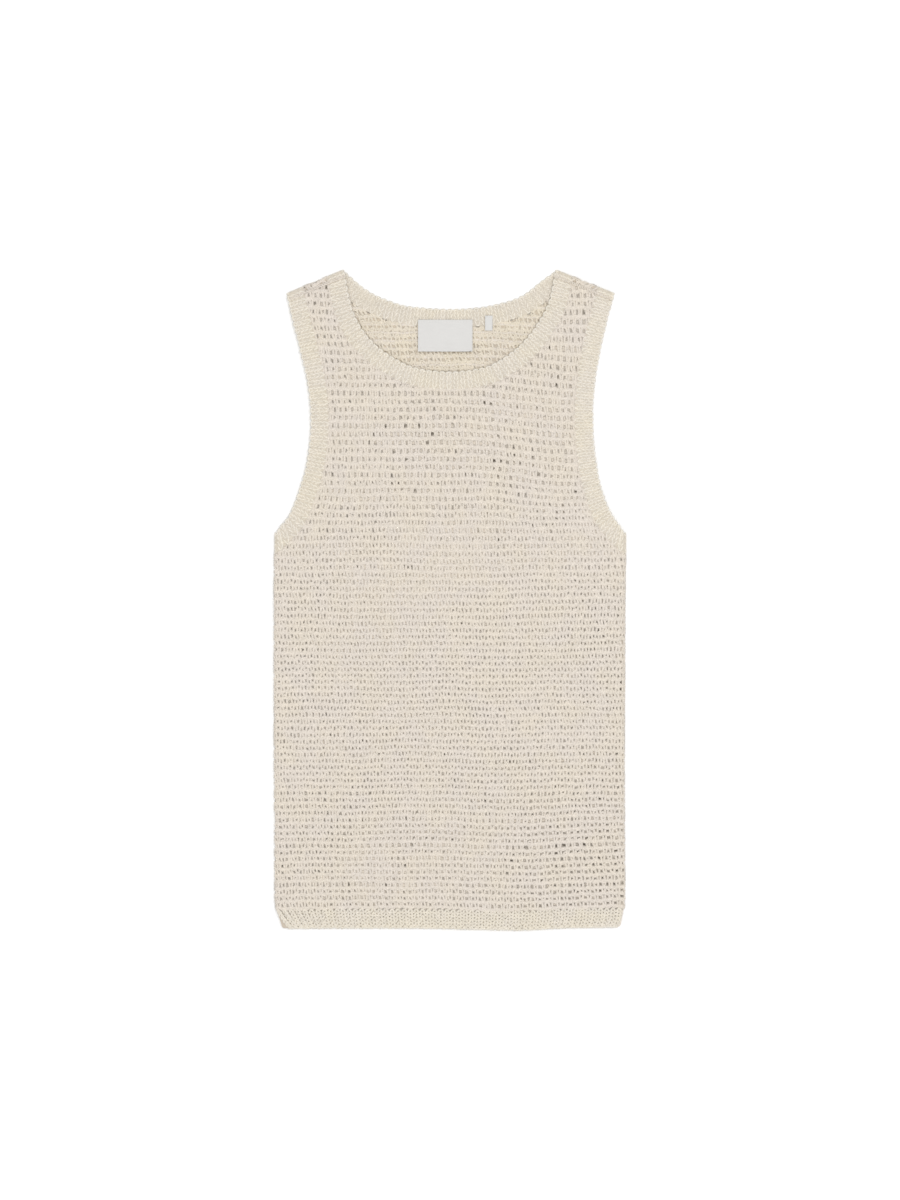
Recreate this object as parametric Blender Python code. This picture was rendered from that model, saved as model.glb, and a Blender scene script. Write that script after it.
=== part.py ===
"""Knit tank top, laid flat on its back with the front facing up.

Metres, +Z up, +X to the right of the picture, +Y from the hem to the neck. The origin is the
bottom centre of the bounding box. The cloth is a wall that lies in two layers: the back panel
rests on the surface and the front panel lies on it. Each layer is a surface midway through the
wall, worked out from sections, and its outer and inner faces stand half a wall off that surface.
At the shoulders the cloth turns over a fold from the back layer to the front one.
"""

import math
from typing import NamedTuple

import bmesh
import bpy
import numpy as np


class Station(NamedTuple):
    """A height above the hem, with the outline's distance left and right of the centre line."""
    height: float
    left: float
    right: float


class HemPoint(NamedTuple):
    """A place across the hem, with how far the edge lies above the lowest point there."""
    across: float
    height: float


class LabelRow(NamedTuple):
    """A row of a label: its distance below the top edge and its underside's height."""
    below_top: float
    underside: float


# Cloth
WALL = 0.0024
GAP = 0.0003
EDGE_THICKNESS = 0.6          # share of the wall left at a band's two edges
MID_HEIGHT = WALL + GAP / 2   # halfway between the two layers
TURN_RADIUS = (WALL + GAP) / 2
TURN_REACH = TURN_RADIUS + WALL / 2

# Bands
BAND_WIDTH = 0.0165
UNDERARM_BAND_WIDTH = 0.0190
BAND_TURN_LENGTH = 0.040      # stretch over which a band's ribs swing round to a fold
RIB_HEIGHT = 0.0006
NECK_RIB_PITCH = 0.0063
LEFT_ARMHOLE_RIB_PITCH = 0.0065
RIGHT_ARMHOLE_RIB_PITCH = 0.0054
HEM_RIB_LENGTH = 0.0185
HEM_RIBS_PER_SPAN = 4
PLAIN_START = 0.0265          # height of the first plain row above the hem's ribs
COVERED_STRETCH = 0.034       # back neckband's length under the front layer, at each end
RIB_FADE = 0.014
SHOULDER_SEAM_DROP = 0.0065   # the seam lies on the front, this far below the fold

# Outline
SIDE_EDGE = (
    Station(height=0.0000, left=0.1615, right=0.1632),
    Station(height=0.0090, left=0.1650, right=0.1668),
    Station(height=0.0190, left=0.1673, right=0.1678),
    Station(height=0.0300, left=0.1683, right=0.1682),
    Station(height=0.1600, left=0.1688, right=0.1674),
    Station(height=0.3160, left=0.1690, right=0.1682),
    Station(height=0.3795, left=0.1685, right=0.1690),
)
ARMHOLE_EDGE = (
    Station(height=0.3795, left=0.1685, right=0.1690),
    Station(height=0.3862, left=0.1622, right=0.1622),
    Station(height=0.3931, left=0.1560, right=0.1572),
    Station(height=0.4040, left=0.1500, right=0.1510),
    Station(height=0.4219, left=0.1434, right=0.1444),
    Station(height=0.4411, left=0.1376, right=0.1400),
    Station(height=0.4699, left=0.1330, right=0.1366),
    Station(height=0.4987, left=0.1326, right=0.1358),
    Station(height=0.5275, left=0.1360, right=0.1382),
    Station(height=0.5563, left=0.1426, right=0.1430),
    Station(height=0.5851, left=0.1500, right=0.1497),
    Station(height=0.6110, left=0.1560, right=0.1570),
)
FRONT_NECK_EDGE = (
    Station(height=0.6330, left=0.1032, right=0.1027),
    Station(height=0.6024, left=0.0970, right=0.0957),
    Station(height=0.5803, left=0.0881, right=0.0845),
    Station(height=0.5630, left=0.0749, right=0.0708),
    Station(height=0.5486, left=0.0560, right=0.0534),
    Station(height=0.5380, left=0.0330, right=0.0322),
)
FRONT_NECK_BOTTOM = 0.5342
BACK_NECK_EDGE = (
    Station(height=0.6330, left=0.1032, right=0.1027),
    Station(height=0.6225, left=0.0930, right=0.0901),
    Station(height=0.6126, left=0.0806, right=0.0778),
    Station(height=0.6047, left=0.0653, right=0.0650),
    Station(height=0.5983, left=0.0470, right=0.0430),
    Station(height=0.5955, left=0.0269, right=0.0269),
)
BACK_NECK_BOTTOM = 0.5940
HEM_EDGE = (
    HemPoint(across=-0.1640, height=0.0016),
    HemPoint(across=-0.1000, height=0.0021),
    HemPoint(across=-0.0300, height=0.0020),
    HemPoint(across=0.0300, height=0.0008),
    HemPoint(across=0.0700, height=0.0002),
    HemPoint(across=0.1100, height=0.0022),
    HemPoint(across=0.1640, height=0.0032),
)

# Labels, sewn inside the back neck
LABEL_THICKNESS = 0.0010
MAIN_LABEL_SIDES = (-0.0307, 0.0216)
MAIN_LABEL_TOP = 0.5851
MAIN_LABEL_ROWS = (
    LabelRow(below_top=0.0000, underside=0.0033),
    LabelRow(below_top=0.0085, underside=0.0033),
    LabelRow(below_top=0.0120, underside=0.0028),
    LabelRow(below_top=0.0200, underside=0.0027),
    LabelRow(below_top=0.0260, underside=0.0030),
    LabelRow(below_top=0.0307, underside=0.0036),
)
SIZE_LABEL_SIDES = (0.0336, 0.0408)
SIZE_LABEL_TOP = 0.5890
SIZE_LABEL_ROWS = (
    LabelRow(below_top=0.0000, underside=0.0033),
    LabelRow(below_top=0.0100, underside=0.0033),
    LabelRow(below_top=0.0125, underside=0.0030),
    LabelRow(below_top=0.0144, underside=0.0032),
)

# Sections
CURVE_STEPS = 16
SIDE_ROWS = 9
ARMHOLE_ROWS = 20
ARMHOLE_CROWDING = 1.35       # above 1, rows lie closer together at the underarm's tight curve
STRAP_ROWS = 15
SPANS_PER_HALF = 7
TURNED_COLUMNS = 2            # columns of a row beyond a side fold's axis
PLAIN_BAND_SECTIONS = 34
BAND_COLUMNS = (0.0, 0.14, 0.86, 1.0)     # places across a band, from the free edge to the seam
EDGE_SAMPLES = 400            # points along a band's sewn edge, where a panel meets it
TURN_ANGLES = (135.0, 90.0, 45.0)
BACK_ANGLE = 0.0
FRONT_ANGLE = 180.0

# Finish: name, linear colour and roughness
CLOTH = ("cream_knit", (0.775, 0.708, 0.617), 0.9)
LABEL = ("label_tape", (0.775, 0.783, 0.752), 0.8)


def unit(vector):
    """The vector at length one."""
    return vector / np.linalg.norm(vector)


def smooth_path(points):
    """A Catmull-Rom curve through 2D points, sampled evenly between each pair."""
    ends = (2 * points[0] - points[1], 2 * points[-1] - points[-2])
    knots = np.vstack([ends[0], points, ends[1]])
    samples = []
    for before, here, there, after in zip(knots, knots[1:], knots[2:], knots[3:]):
        for step in range(CURVE_STEPS):
            t = step / CURVE_STEPS
            samples.append(
                0.5 * (2 * here + (there - before) * t
                       + (2 * before - 5 * here + 4 * there - after) * t ** 2
                       + (3 * here - before - 3 * there + after) * t ** 3))
    samples.append(points[-1])
    return np.array(samples)


def path_length(path):
    """Distance along the path at each of its points."""
    steps = np.linalg.norm(np.diff(path, axis=0), axis=1)
    return np.concatenate([[0.0], np.cumsum(steps)])


def points_along(path, fractions):
    """Points at fractions of the path's length."""
    run = path_length(path)
    places = np.asarray(fractions) * run[-1]
    return np.column_stack([np.interp(places, run, path[:, axis]) for axis in (0, 1)])


def across_at(path, height):
    """The path's place across at a height. The path only rises or only falls."""
    ordered = path[np.argsort(path[:, 1])]
    return np.interp(height, ordered[:, 1], ordered[:, 0])


class Fold(NamedTuple):
    """The straight fold at a shoulder or a side, with its turning axis inside the outline."""
    start: np.ndarray
    end: np.ndarray
    outward: np.ndarray

    def turn(self, point, angle):
        """The mid surface and its outer normal, this angle round the fold from the back layer."""
        sine = math.sin(math.radians(angle))
        cosine = math.cos(math.radians(angle))
        place = point + self.outward * TURN_RADIUS * sine
        normal = np.array([*(self.outward * sine), -cosine])
        return np.array([*place, MID_HEIGHT - TURN_RADIUS * cosine]), normal


def fold_inside(start, end):
    """A fold whose rounded edge reaches the line between two outline points."""
    along = unit(end - start)
    outward = np.array([-along[1], along[0]])
    if np.dot(outward, -start) > 0:
        outward = -outward
    return Fold(start - outward * TURN_REACH, end - outward * TURN_REACH, outward)


def outline_point(station, side):
    """A station's point on the left (-1) or right (+1) of the outline."""
    return np.array([side * (station.left if side < 0 else station.right), station.height])


def shoulder_fold(side):
    """The shoulder's fold from the neck point to the armhole."""
    neck = outline_point(FRONT_NECK_EDGE[0], side)
    arm = outline_point(ARMHOLE_EDGE[-1], side)
    return fold_inside(neck, arm)


def side_fold(side):
    """The side's fold beside the underarm, from the underarm down."""
    high = outline_point(ARMHOLE_EDGE[0], side)
    low = np.array([high[0], SIDE_EDGE[-2].height])
    return fold_inside(high, low)


def neck_path(stations, bottom, folds):
    """A neckline's free edge from the left fold to the right one."""
    left = [outline_point(station, -1) for station in stations[1:]]
    right = [outline_point(station, 1) for station in reversed(stations[1:])]
    middle = [np.array([0.0, bottom])]
    return smooth_path(np.array([folds[-1].start, *left, *middle, *right, folds[1].start]))


def armhole_path(side, shoulder, underarm):
    """An armhole's free edge, with the body on its right hand: up the left side, down the right."""
    inner = [outline_point(station, side) for station in ARMHOLE_EDGE[1:-1]]
    points = [underarm.start, *inner, shoulder.end]
    if side > 0:
        points.reverse()
    return smooth_path(np.array(points))


class Strip(NamedTuple):
    """A band's two edges in plan, section by section, and its distance run."""
    free: np.ndarray
    seam: np.ndarray
    run: np.ndarray


def band_strip(path, fractions, ways, widths):
    """Sections across a band. At its ends they swing round to lie along the folds.

    ways are the directions from the free edge to the seam along the first and last fold,
    and widths are the band's widths there.
    """
    run = path_length(path)
    along = np.gradient(path, axis=0)
    along /= np.linalg.norm(along, axis=1)[:, None]
    free = points_along(path, fractions)
    sections = []
    for place, distance in zip(free, np.asarray(fractions) * run[-1]):
        heading = np.array([np.interp(distance, run, along[:, axis]) for axis in (0, 1)])
        way = unit(np.array([heading[1], -heading[0]]))
        width = BAND_WIDTH
        for end_way, end_width, left_to_go in zip(ways, widths, (distance, run[-1] - distance)):
            share = max(0.0, 1.0 - left_to_go / BAND_TURN_LENGTH) ** 2
            way = unit((1 - share) * way + share * end_way)
            width = (1 - share) * width + share * end_width
        sections.append(place + way * width)
    return Strip(free, np.array(sections), np.asarray(fractions) * run[-1])


def moved_off(strip):
    """The line a seam's gap beyond a band's sewn edge, where the panel's edge lies."""
    ways = strip.seam - strip.free
    return strip.seam + ways / np.linalg.norm(ways, axis=1)[:, None] * GAP


def rib_fractions(length, pitch):
    """Even fractions of a band's length: two sections to each rib, a trough and a crest."""
    ribs = max(1, round(length / pitch))
    return np.linspace(0.0, 1.0, 2 * ribs + 1)


def shell(name, faces, outer, inner, finish, collection):
    """A closed wall from one set of faces: outside, inside, and a rim round each open edge."""
    work = bmesh.new()
    outside = [work.verts.new(point) for point in outer]
    inside = [work.verts.new(point) for point in inner]
    uses = {}
    for face in faces:
        work.faces.new([outside[corner] for corner in face])
        work.faces.new([inside[corner] for corner in reversed(face)])
        for start, end in zip(face, (*face[1:], face[0])):
            uses[(start, end)] = (end, start) in uses or uses.get((start, end), False)
            if (end, start) in uses:
                uses[(end, start)] = True
    for (start, end), shared in uses.items():
        if not shared:
            work.faces.new((outside[end], outside[start], inside[start], inside[end]))
    bmesh.ops.recalc_face_normals(work, faces=work.faces)
    mesh = bpy.data.meshes.new(name)
    work.to_mesh(mesh)
    work.free()
    mesh.materials.append(finish)
    piece = bpy.data.objects.new(name, mesh)
    collection.objects.link(piece)
    return piece


def walls(middles, normals, outer_extra, shares):
    """The outer and inner points half a wall off the mid surface."""
    half = WALL / 2 * np.asarray(shares)[:, None]
    middles = np.array(middles)
    normals = np.array(normals)
    extra = np.asarray(outer_extra)[:, None]
    outer = middles + normals * (half + np.maximum(extra, 0))
    inner = middles - normals * (half + np.maximum(-extra, 0))
    return outer, inner


class Section(NamedTuple):
    """One section across a band: its two ends on the mid surface, its normal and its rib's rise.

    A rise above zero stands on the outer face, and one below zero on the inner face.
    """
    free: np.ndarray
    seam: np.ndarray
    normal: np.ndarray
    rise: float


def flat_sections(strip, angle, rises):
    """A strip's sections on the back layer or the front one."""
    height = MID_HEIGHT - TURN_RADIUS * math.cos(math.radians(angle))
    normal = np.array([0.0, 0.0, -math.cos(math.radians(angle))])
    return [
        Section(np.array([*free, height]), np.array([*seam, height]), normal, rise)
        for free, seam, rise in zip(strip.free, strip.seam, rises)]


def turned_sections(fold, free, seam, angles):
    """A band's sections round a fold."""
    sections = []
    for angle in angles:
        start, normal = fold.turn(free, angle)
        end, _ = fold.turn(seam, angle)
        sections.append(Section(start, end, normal, 0.0))
    return sections


def band_loop(name, sections, finish, collection):
    """A band sewn into a loop: a wall through its sections, closed on itself."""
    shares = (EDGE_THICKNESS, 1.0, 1.0, EDGE_THICKNESS)
    middles = []
    normals = []
    extra = []
    share_list = []
    for section in sections:
        for column, share in zip(BAND_COLUMNS, shares):
            middles.append(section.free * (1 - column) + section.seam * column)
            normals.append(section.normal)
            extra.append(section.rise * share)
            share_list.append(share)
    count = len(sections)
    width = len(BAND_COLUMNS)
    faces = []
    for row in range(count):
        after = (row + 1) % count
        for column in range(width - 1):
            faces.append((row * width + column, row * width + column + 1,
                          after * width + column + 1, after * width + column))
    outer, inner = walls(middles, normals, extra, share_list)
    return shell(name, faces, outer, inner, finish, collection)


def crests(fractions):
    """Rib heights for sections that alternate between a trough and a crest."""
    return [RIB_HEIGHT if index % 2 else 0.0 for index in range(len(fractions))]


def make_neckband(front_path, back_path, folds, ways, finish, collection):
    """The neckband: ribbed on the front's outside and on the inside that shows at the back."""
    length = path_length(front_path)[-1]
    fractions = rib_fractions(length, NECK_RIB_PITCH)
    widths = (BAND_WIDTH, BAND_WIDTH)
    front = band_strip(front_path, fractions, (ways[-1], ways[1]), widths)
    back_length = path_length(back_path)[-1]
    back_fractions = rib_fractions(back_length, NECK_RIB_PITCH)
    back = band_strip(back_path, back_fractions, (ways[-1], ways[1]), widths)
    back_rises = []
    for rise, run in zip(crests(back_fractions), back.run):
        clear = min(run, back_length - run) - COVERED_STRETCH
        back_rises.append(-rise * min(1.0, max(0.0, clear / RIB_FADE)))
    sections = flat_sections(front, FRONT_ANGLE, crests(fractions))
    sections += turned_sections(folds[1], front.free[-1], front.seam[-1], TURN_ANGLES)
    sections += reversed(flat_sections(back, BACK_ANGLE, back_rises))
    sections += turned_sections(folds[-1], front.free[0], front.seam[0], reversed(TURN_ANGLES))
    band_loop("neckband", sections, finish, collection)
    dense = np.linspace(0.0, 1.0, EDGE_SAMPLES)
    return (moved_off(band_strip(front_path, dense, (ways[-1], ways[1]), widths)),
            moved_off(band_strip(back_path, dense, (ways[-1], ways[1]), widths)))


def make_armhole_band(name, side, path, shoulder, underarm, pitch, finish, collection):
    """An armhole band: its front half is ribbed, and its back half lies hidden beneath it."""
    fractions = rib_fractions(path_length(path)[-1], pitch)
    shoulder_way = unit(shoulder.start - shoulder.end)
    underarm_way = unit(underarm.end - underarm.start)
    ways = (underarm_way, shoulder_way)
    widths = (UNDERARM_BAND_WIDTH, BAND_WIDTH)
    folds = (underarm, shoulder)
    if side > 0:
        ways = ways[::-1]
        widths = widths[::-1]
        folds = folds[::-1]
    front = band_strip(path, fractions, ways, widths)
    plain = np.linspace(0.0, 1.0, PLAIN_BAND_SECTIONS)
    back = band_strip(path, plain, ways, widths)
    sections = flat_sections(front, FRONT_ANGLE, crests(fractions))
    sections += turned_sections(folds[1], front.free[-1], front.seam[-1], TURN_ANGLES)
    sections += reversed(flat_sections(back, BACK_ANGLE, [0.0] * len(plain)))
    sections += turned_sections(folds[0], front.free[0], front.seam[0], reversed(TURN_ANGLES))
    band_loop(name, sections, finish, collection)
    edge = moved_off(band_strip(path, np.linspace(0.0, 1.0, EDGE_SAMPLES), ways, widths))
    return edge if side < 0 else edge[::-1]


class PanelPoint(NamedTuple):
    """A point of a panel: its place in plan, its turn round a fold and the fold it turns on."""
    place: np.ndarray
    angle: float
    fold: Fold


class Panel:
    """A front or back panel: sections from the hem to the shoulders, straps included.

    Each section is a row of points. Below the neck's lowest point a row runs from side to side,
    and above it there is one row for each strap.
    """

    def __init__(self, angle, neck_edge, front_neck_edge, armhole_edges, shoulders):
        self.angle = angle
        self.neck_edge = neck_edge
        self.front_neck_edge = front_neck_edge
        self.armhole_edges = armhole_edges
        self.shoulders = shoulders
        self.points = []
        self.rises = []
        self.shares = []
        self.faces = []

    def add(self, point, rise=0.0, share=1.0):
        """Store a point and return its number."""
        self.points.append(point)
        self.rises.append(rise)
        self.shares.append(share)
        return len(self.points) - 1

    def side_half(self, side, height, share, lift):
        """Half of a row below the underarm, from the side seam to the last span's start."""
        rows = np.array([outline_point(station, side) for station in SIDE_EDGE])
        reach = np.interp(height, rows[:, 1], rows[:, 0])
        axis = np.array([reach - side * TURN_REACH, height + lift(reach)])
        fold = Fold(axis, axis, np.array([float(side), 0.0]))
        quarter = (90.0 + self.angle) / 2
        turned = [PanelPoint(axis, 90.0, fold), PanelPoint(axis, quarter, fold)]
        flat = []
        for span in range(SPANS_PER_HALF):
            across = axis[0] * (1 - span / SPANS_PER_HALF)
            flat.append(PanelPoint(np.array([across, height + lift(across)]), self.angle, fold))
        return [self.add(point, share=share) for point in turned + flat]

    def cut_half(self, edge, centre):
        """Half of a row beside a cut edge, in even spans."""
        columns = [edge + (centre - edge) * span / SPANS_PER_HALF for span in range(SPANS_PER_HALF)]
        return [self.add(PanelPoint(place, self.angle, None)) for place in columns]

    def full_row(self, left, centre, right):
        """Join two halves at a centre point, numbered from left to right."""
        return [*left, self.add(PanelPoint(centre, self.angle, None)), *reversed(right)]

    def join(self, low, high):
        """Faces between two rows of equal length."""
        for left in range(len(low) - 1):
            self.faces.append((low[left], low[left + 1], high[left + 1], high[left]))

    def side_row(self, height, lift=lambda across: 0.0, share=1.0):
        """A full row below the underarm."""
        centre = np.array([0.0, height + lift(0.0)])
        left = self.side_half(-1, height, share, lift)
        right = self.side_half(1, height, share, lift)
        row = self.full_row(left, centre, right)
        self.shares[row[len(left)]] = share
        return row

    def hem(self, lift):
        """The hem's edge, ribbed on the front. Returns the first plain row above it."""
        top = self.side_row(PLAIN_START, lift)
        if self.angle == BACK_ANGLE:
            edge = self.side_row(0.0, lift, EDGE_THICKNESS)
            full = self.side_row(WALL / 2, lift)
            self.join(edge, full)
            self.join(full, top)
            return top
        heights = (0.0, WALL / 2, HEM_RIB_LENGTH - WALL, HEM_RIB_LENGTH)
        heights_share = (EDGE_THICKNESS, 1.0, 1.0, 1.0)
        heights_rise = (EDGE_THICKNESS, 1.0, 1.0, 0.0)
        parts = 2 * HEM_RIBS_PER_SPAN
        rows = []
        for height, share, rise in zip(heights, heights_share, heights_rise):
            coarse = self.side_row(height, lift, share)
            fine = list(coarse[:3])
            for start, end in zip(coarse[2:-3], coarse[3:-2]):
                first = self.points[start].place
                last = self.points[end].place
                for part in range(1, parts):
                    across = first[0] + (last[0] - first[0]) * part / parts
                    place = np.array([across, height + lift(across)])
                    crest = RIB_HEIGHT * rise if part % 2 else 0.0
                    fine.append(self.add(PanelPoint(place, self.angle, None), crest, share))
                fine.append(end)
            fine += coarse[-2:]
            rows.append(fine)
        for low, high in zip(rows, rows[1:]):
            self.join(low, high)
        self.fan(rows[-1], top, parts)
        return top

    def fan(self, fine, coarse, parts):
        """Triangles from a row of many points to a row of few."""
        for column in (0, 1, len(coarse) - 3, len(coarse) - 2):
            start = column if column < 2 else len(fine) - (len(coarse) - column)
            self.faces.append((fine[start], fine[start + 1], coarse[column + 1], coarse[column]))
        for span in range(2 * SPANS_PER_HALF):
            left = coarse[2 + span]
            right = coarse[3 + span]
            base = 2 + span * parts
            middle = parts // 2
            for part in range(parts):
                tip = left if part < middle else right
                self.faces.append((fine[base + part], fine[base + part + 1], tip))
            self.faces.append((fine[base + middle], right, left))

    def build(self, lift):
        """All rows from the hem to the shoulders."""
        below = self.hem(lift)
        underarm = max(edge[0][1] for edge in self.armhole_edges.values())
        start = PLAIN_START
        for step in range(1, SIDE_ROWS + 1):
            share = step / SIDE_ROWS
            height = start + (underarm - start) * share
            row = self.side_row(height, lambda across, left=1 - share: lift(across) * left)
            self.join(below, row)
            below = row
        below = below[TURNED_COLUMNS:-TURNED_COLUMNS]
        bottom = self.neck_edge[np.argmin(self.neck_edge[:, 1])]
        for step in range(1, ARMHOLE_ROWS + 1):
            share = (step / ARMHOLE_ROWS) ** ARMHOLE_CROWDING
            row = self.armhole_row(share, underarm, bottom)
            self.join(below, row)
            below = row
        self.strap(-1, below[:SPANS_PER_HALF + 1], bottom)
        self.strap(1, below[SPANS_PER_HALF:], bottom)

    def armhole_row(self, share, underarm, bottom):
        """A full row between the armholes, at a share of the way along the left edge."""
        left_edge = self.armhole_edges[-1]
        part = left_edge[left_edge[:, 1] <= bottom[1]]
        place = points_along(np.vstack([part, [across_at(left_edge, bottom[1]), bottom[1]]]), [share])[0]
        height = place[1]
        right = np.array([across_at(self.armhole_edges[1], height), height])
        centre = np.array([bottom[0], height])
        return self.full_row(self.cut_half(place, centre), centre, self.cut_half(right, centre))

    def strap_edges(self, side, neck_edge, bottom, drop):
        """A strap's two edges, up to the line this far below the shoulder fold's axis."""
        shoulder = self.shoulders[side]
        neck_edge = neck_edge[neck_edge[:, 0] * side >= bottom[0] * side]
        if side < 0:
            neck_edge = neck_edge[::-1]
        arm_edge = self.armhole_edges[side]
        above = arm_edge[arm_edge[:, 1] > bottom[1]]
        arm_edge = np.vstack([[across_at(arm_edge, bottom[1]), bottom[1]], above])
        return ended_at(arm_edge, shoulder, drop), ended_at(neck_edge, shoulder, drop)

    def strap(self, side, below, bottom):
        """One strap, from the neck's lowest point to its shoulder."""
        drop = SHOULDER_SEAM_DROP - TURN_REACH if self.angle == FRONT_ANGLE else 0.0
        arm_edge, neck_edge = self.strap_edges(side, self.neck_edge, bottom, drop)
        neck_points = points_along(neck_edge, np.linspace(0, 1, STRAP_ROWS + 1)[1:])
        neck_rise = (neck_points[:, 1] - bottom[1]) / (neck_points[-1][1] - bottom[1])
        arm_heights = bottom[1] + neck_rise * (arm_edge[-1][1] - bottom[1])
        for neck, height in zip(neck_points, arm_heights):
            arm = np.array([across_at(arm_edge, height), height])
            below = self.strap_row(side, below, self.cut_half(arm, neck), neck)
        if self.angle == BACK_ANGLE:
            self.turn_shoulder(side, below, bottom)

    def strap_row(self, side, below, half, neck):
        """One more row of a strap, joined to the row below it."""
        row = [*half, self.add(PanelPoint(neck, self.angle, None))]
        if side > 0:
            row.reverse()
        self.join(below, row)
        return row

    def turn_shoulder(self, side, below, bottom):
        """The back panel's top: over the fold and down to the shoulder seam on the front."""
        shoulder = self.shoulders[side]
        base = [self.points[number].place for number in below]
        for angle in (*reversed(TURN_ANGLES), FRONT_ANGLE):
            row = [self.add(PanelPoint(place, angle, shoulder)) for place in base]
            self.join(below, row)
            below = row
        drop = SHOULDER_SEAM_DROP - TURN_REACH - GAP
        arm_edge, neck_edge = self.strap_edges(side, self.front_neck_edge, bottom, drop)
        first, last = (arm_edge[-1], neck_edge[-1]) if side < 0 else (neck_edge[-1], arm_edge[-1])
        columns = np.linspace(first, last, SPANS_PER_HALF + 1)
        row = [self.add(PanelPoint(place, FRONT_ANGLE, shoulder)) for place in columns]
        self.join(below, row)

    def make(self, name, finish, collection):
        """The panel's solid."""
        plain = Fold(None, None, np.zeros(2))
        turned = [(point.fold or plain).turn(point.place, point.angle) for point in self.points]
        middles = [middle for middle, _ in turned]
        normals = [normal for _, normal in turned]
        outer, inner = walls(middles, normals, self.rises, self.shares)
        for number, point in enumerate(self.points):
            if point.fold is None or abs(point.fold.outward[1]) > 0:
                continue
            for surface in (outer, inner):
                limit = MID_HEIGHT + math.copysign(GAP / 2, self.angle - 90.0)
                keep = max if self.angle == FRONT_ANGLE else min
                surface[number][2] = keep(surface[number][2], limit)
        return shell(name, self.faces, outer, inner, finish, collection)


def ended_at(path, fold, drop):
    """A strap's edge cut off where it meets the line this far below the fold's axis."""
    depth = np.array([np.dot(fold.start - point, fold.outward) for point in path])
    inside = path[depth > drop + 1e-6]
    last = inside[-1]
    after = path[len(inside)] if len(inside) < len(path) else path[-1]
    gain = np.dot(fold.start - last, fold.outward) - np.dot(fold.start - after, fold.outward)
    share = (np.dot(fold.start - last, fold.outward) - drop) / gain
    return np.vstack([inside, last + (after - last) * share])


def make_label(name, sides, top, rows, finish, collection):
    """A label: a thin strip through its rows, which lie on the neckband and the back panel."""
    outer = []
    inner = []
    for row in rows:
        for across in sides:
            inner.append((across, top - row.below_top, row.underside))
            outer.append((across, top - row.below_top, row.underside + LABEL_THICKNESS))
    faces = []
    for row in range(len(rows) - 1):
        first = 2 * row
        faces.append((first, first + 2, first + 3, first + 1))
    shell(name, faces, outer, inner, finish, collection)


def make_finish(name, colour, roughness):
    """A plain surface of one colour."""
    finish = bpy.data.materials.new(name)
    finish.use_nodes = True
    surface = finish.node_tree.nodes["Principled BSDF"]
    surface.inputs["Base Color"].default_value = (*colour, 1.0)
    surface.inputs["Roughness"].default_value = roughness
    surface.inputs["Metallic"].default_value = 0.0
    return finish


def centre_on_origin(collection):
    """Shift all pieces so that the bounding box stands on the origin by its bottom centre."""
    corners = np.array([vertex.co for piece in collection.objects for vertex in piece.data.vertices])
    low = corners.min(axis=0)
    high = corners.max(axis=0)
    shift = (-(low[0] + high[0]) / 2, -(low[1] + high[1]) / 2, -low[2])
    for piece in collection.objects:
        for vertex in piece.data.vertices:
            vertex.co.x += shift[0]
            vertex.co.y += shift[1]
            vertex.co.z += shift[2]


def main():
    """Build the garment."""
    for old in list(bpy.data.objects):
        bpy.data.objects.remove(old)
    collection = bpy.data.collections.new("knit_tank_top")
    bpy.context.scene.collection.children.link(collection)
    cloth = make_finish(*CLOTH)
    tape = make_finish(*LABEL)

    sides = (-1, 1)
    shoulders = {side: shoulder_fold(side) for side in sides}
    underarms = {side: side_fold(side) for side in sides}
    ways = {side: unit(shoulders[side].end - shoulders[side].start) for side in sides}

    front_neck = neck_path(FRONT_NECK_EDGE, FRONT_NECK_BOTTOM, shoulders)
    back_neck = neck_path(BACK_NECK_EDGE, BACK_NECK_BOTTOM, shoulders)
    front_edge, back_edge = make_neckband(front_neck, back_neck, shoulders, ways, cloth, collection)

    bands = {
        -1: ("armhole_band_left", LEFT_ARMHOLE_RIB_PITCH),
        1: ("armhole_band_right", RIGHT_ARMHOLE_RIB_PITCH),
    }
    armholes = {}
    for side, (name, pitch) in bands.items():
        path = armhole_path(side, shoulders[side], underarms[side])
        armholes[side] = make_armhole_band(
            name, side, path, shoulders[side], underarms[side], pitch, cloth, collection)

    hem_points = smooth_path(np.array(HEM_EDGE))

    def lift(across):
        """How far the hem's edge lies above its lowest point."""
        return np.interp(across, hem_points[:, 0], hem_points[:, 1])

    layers = (("front_panel", FRONT_ANGLE, front_edge), ("back_panel", BACK_ANGLE, back_edge))
    for name, angle, neck_edge in layers:
        panel = Panel(angle, neck_edge, front_edge, armholes, shoulders)
        panel.build(lift)
        panel.make(name, cloth, collection)

    make_label("main_label", MAIN_LABEL_SIDES, MAIN_LABEL_TOP, MAIN_LABEL_ROWS, tape, collection)
    make_label("size_label", SIZE_LABEL_SIDES, SIZE_LABEL_TOP, SIZE_LABEL_ROWS, tape, collection)
    centre_on_origin(collection)


main()
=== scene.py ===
"""Knit tank top, laid flat: the looks of its cloth, bands, hem and labels.

Metres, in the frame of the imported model: +X to the picture's right, +Y from the hem to the neck,
+Z up out of the front. The knitting is modelled as yarn. Each panel is a thin shell that keeps
the solid's form, with rows of yarn loops on it, and each band is a shell with columns of stitches
on its ribs. Heights in the tables are above the hem's lowest point, as in the solids.
"""

import logging
import math
from dataclasses import dataclass, field
from enum import Enum
from typing import Callable, NamedTuple, Sequence

import bmesh
import bpy
import numpy as np
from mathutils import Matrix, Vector, kdtree


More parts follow.
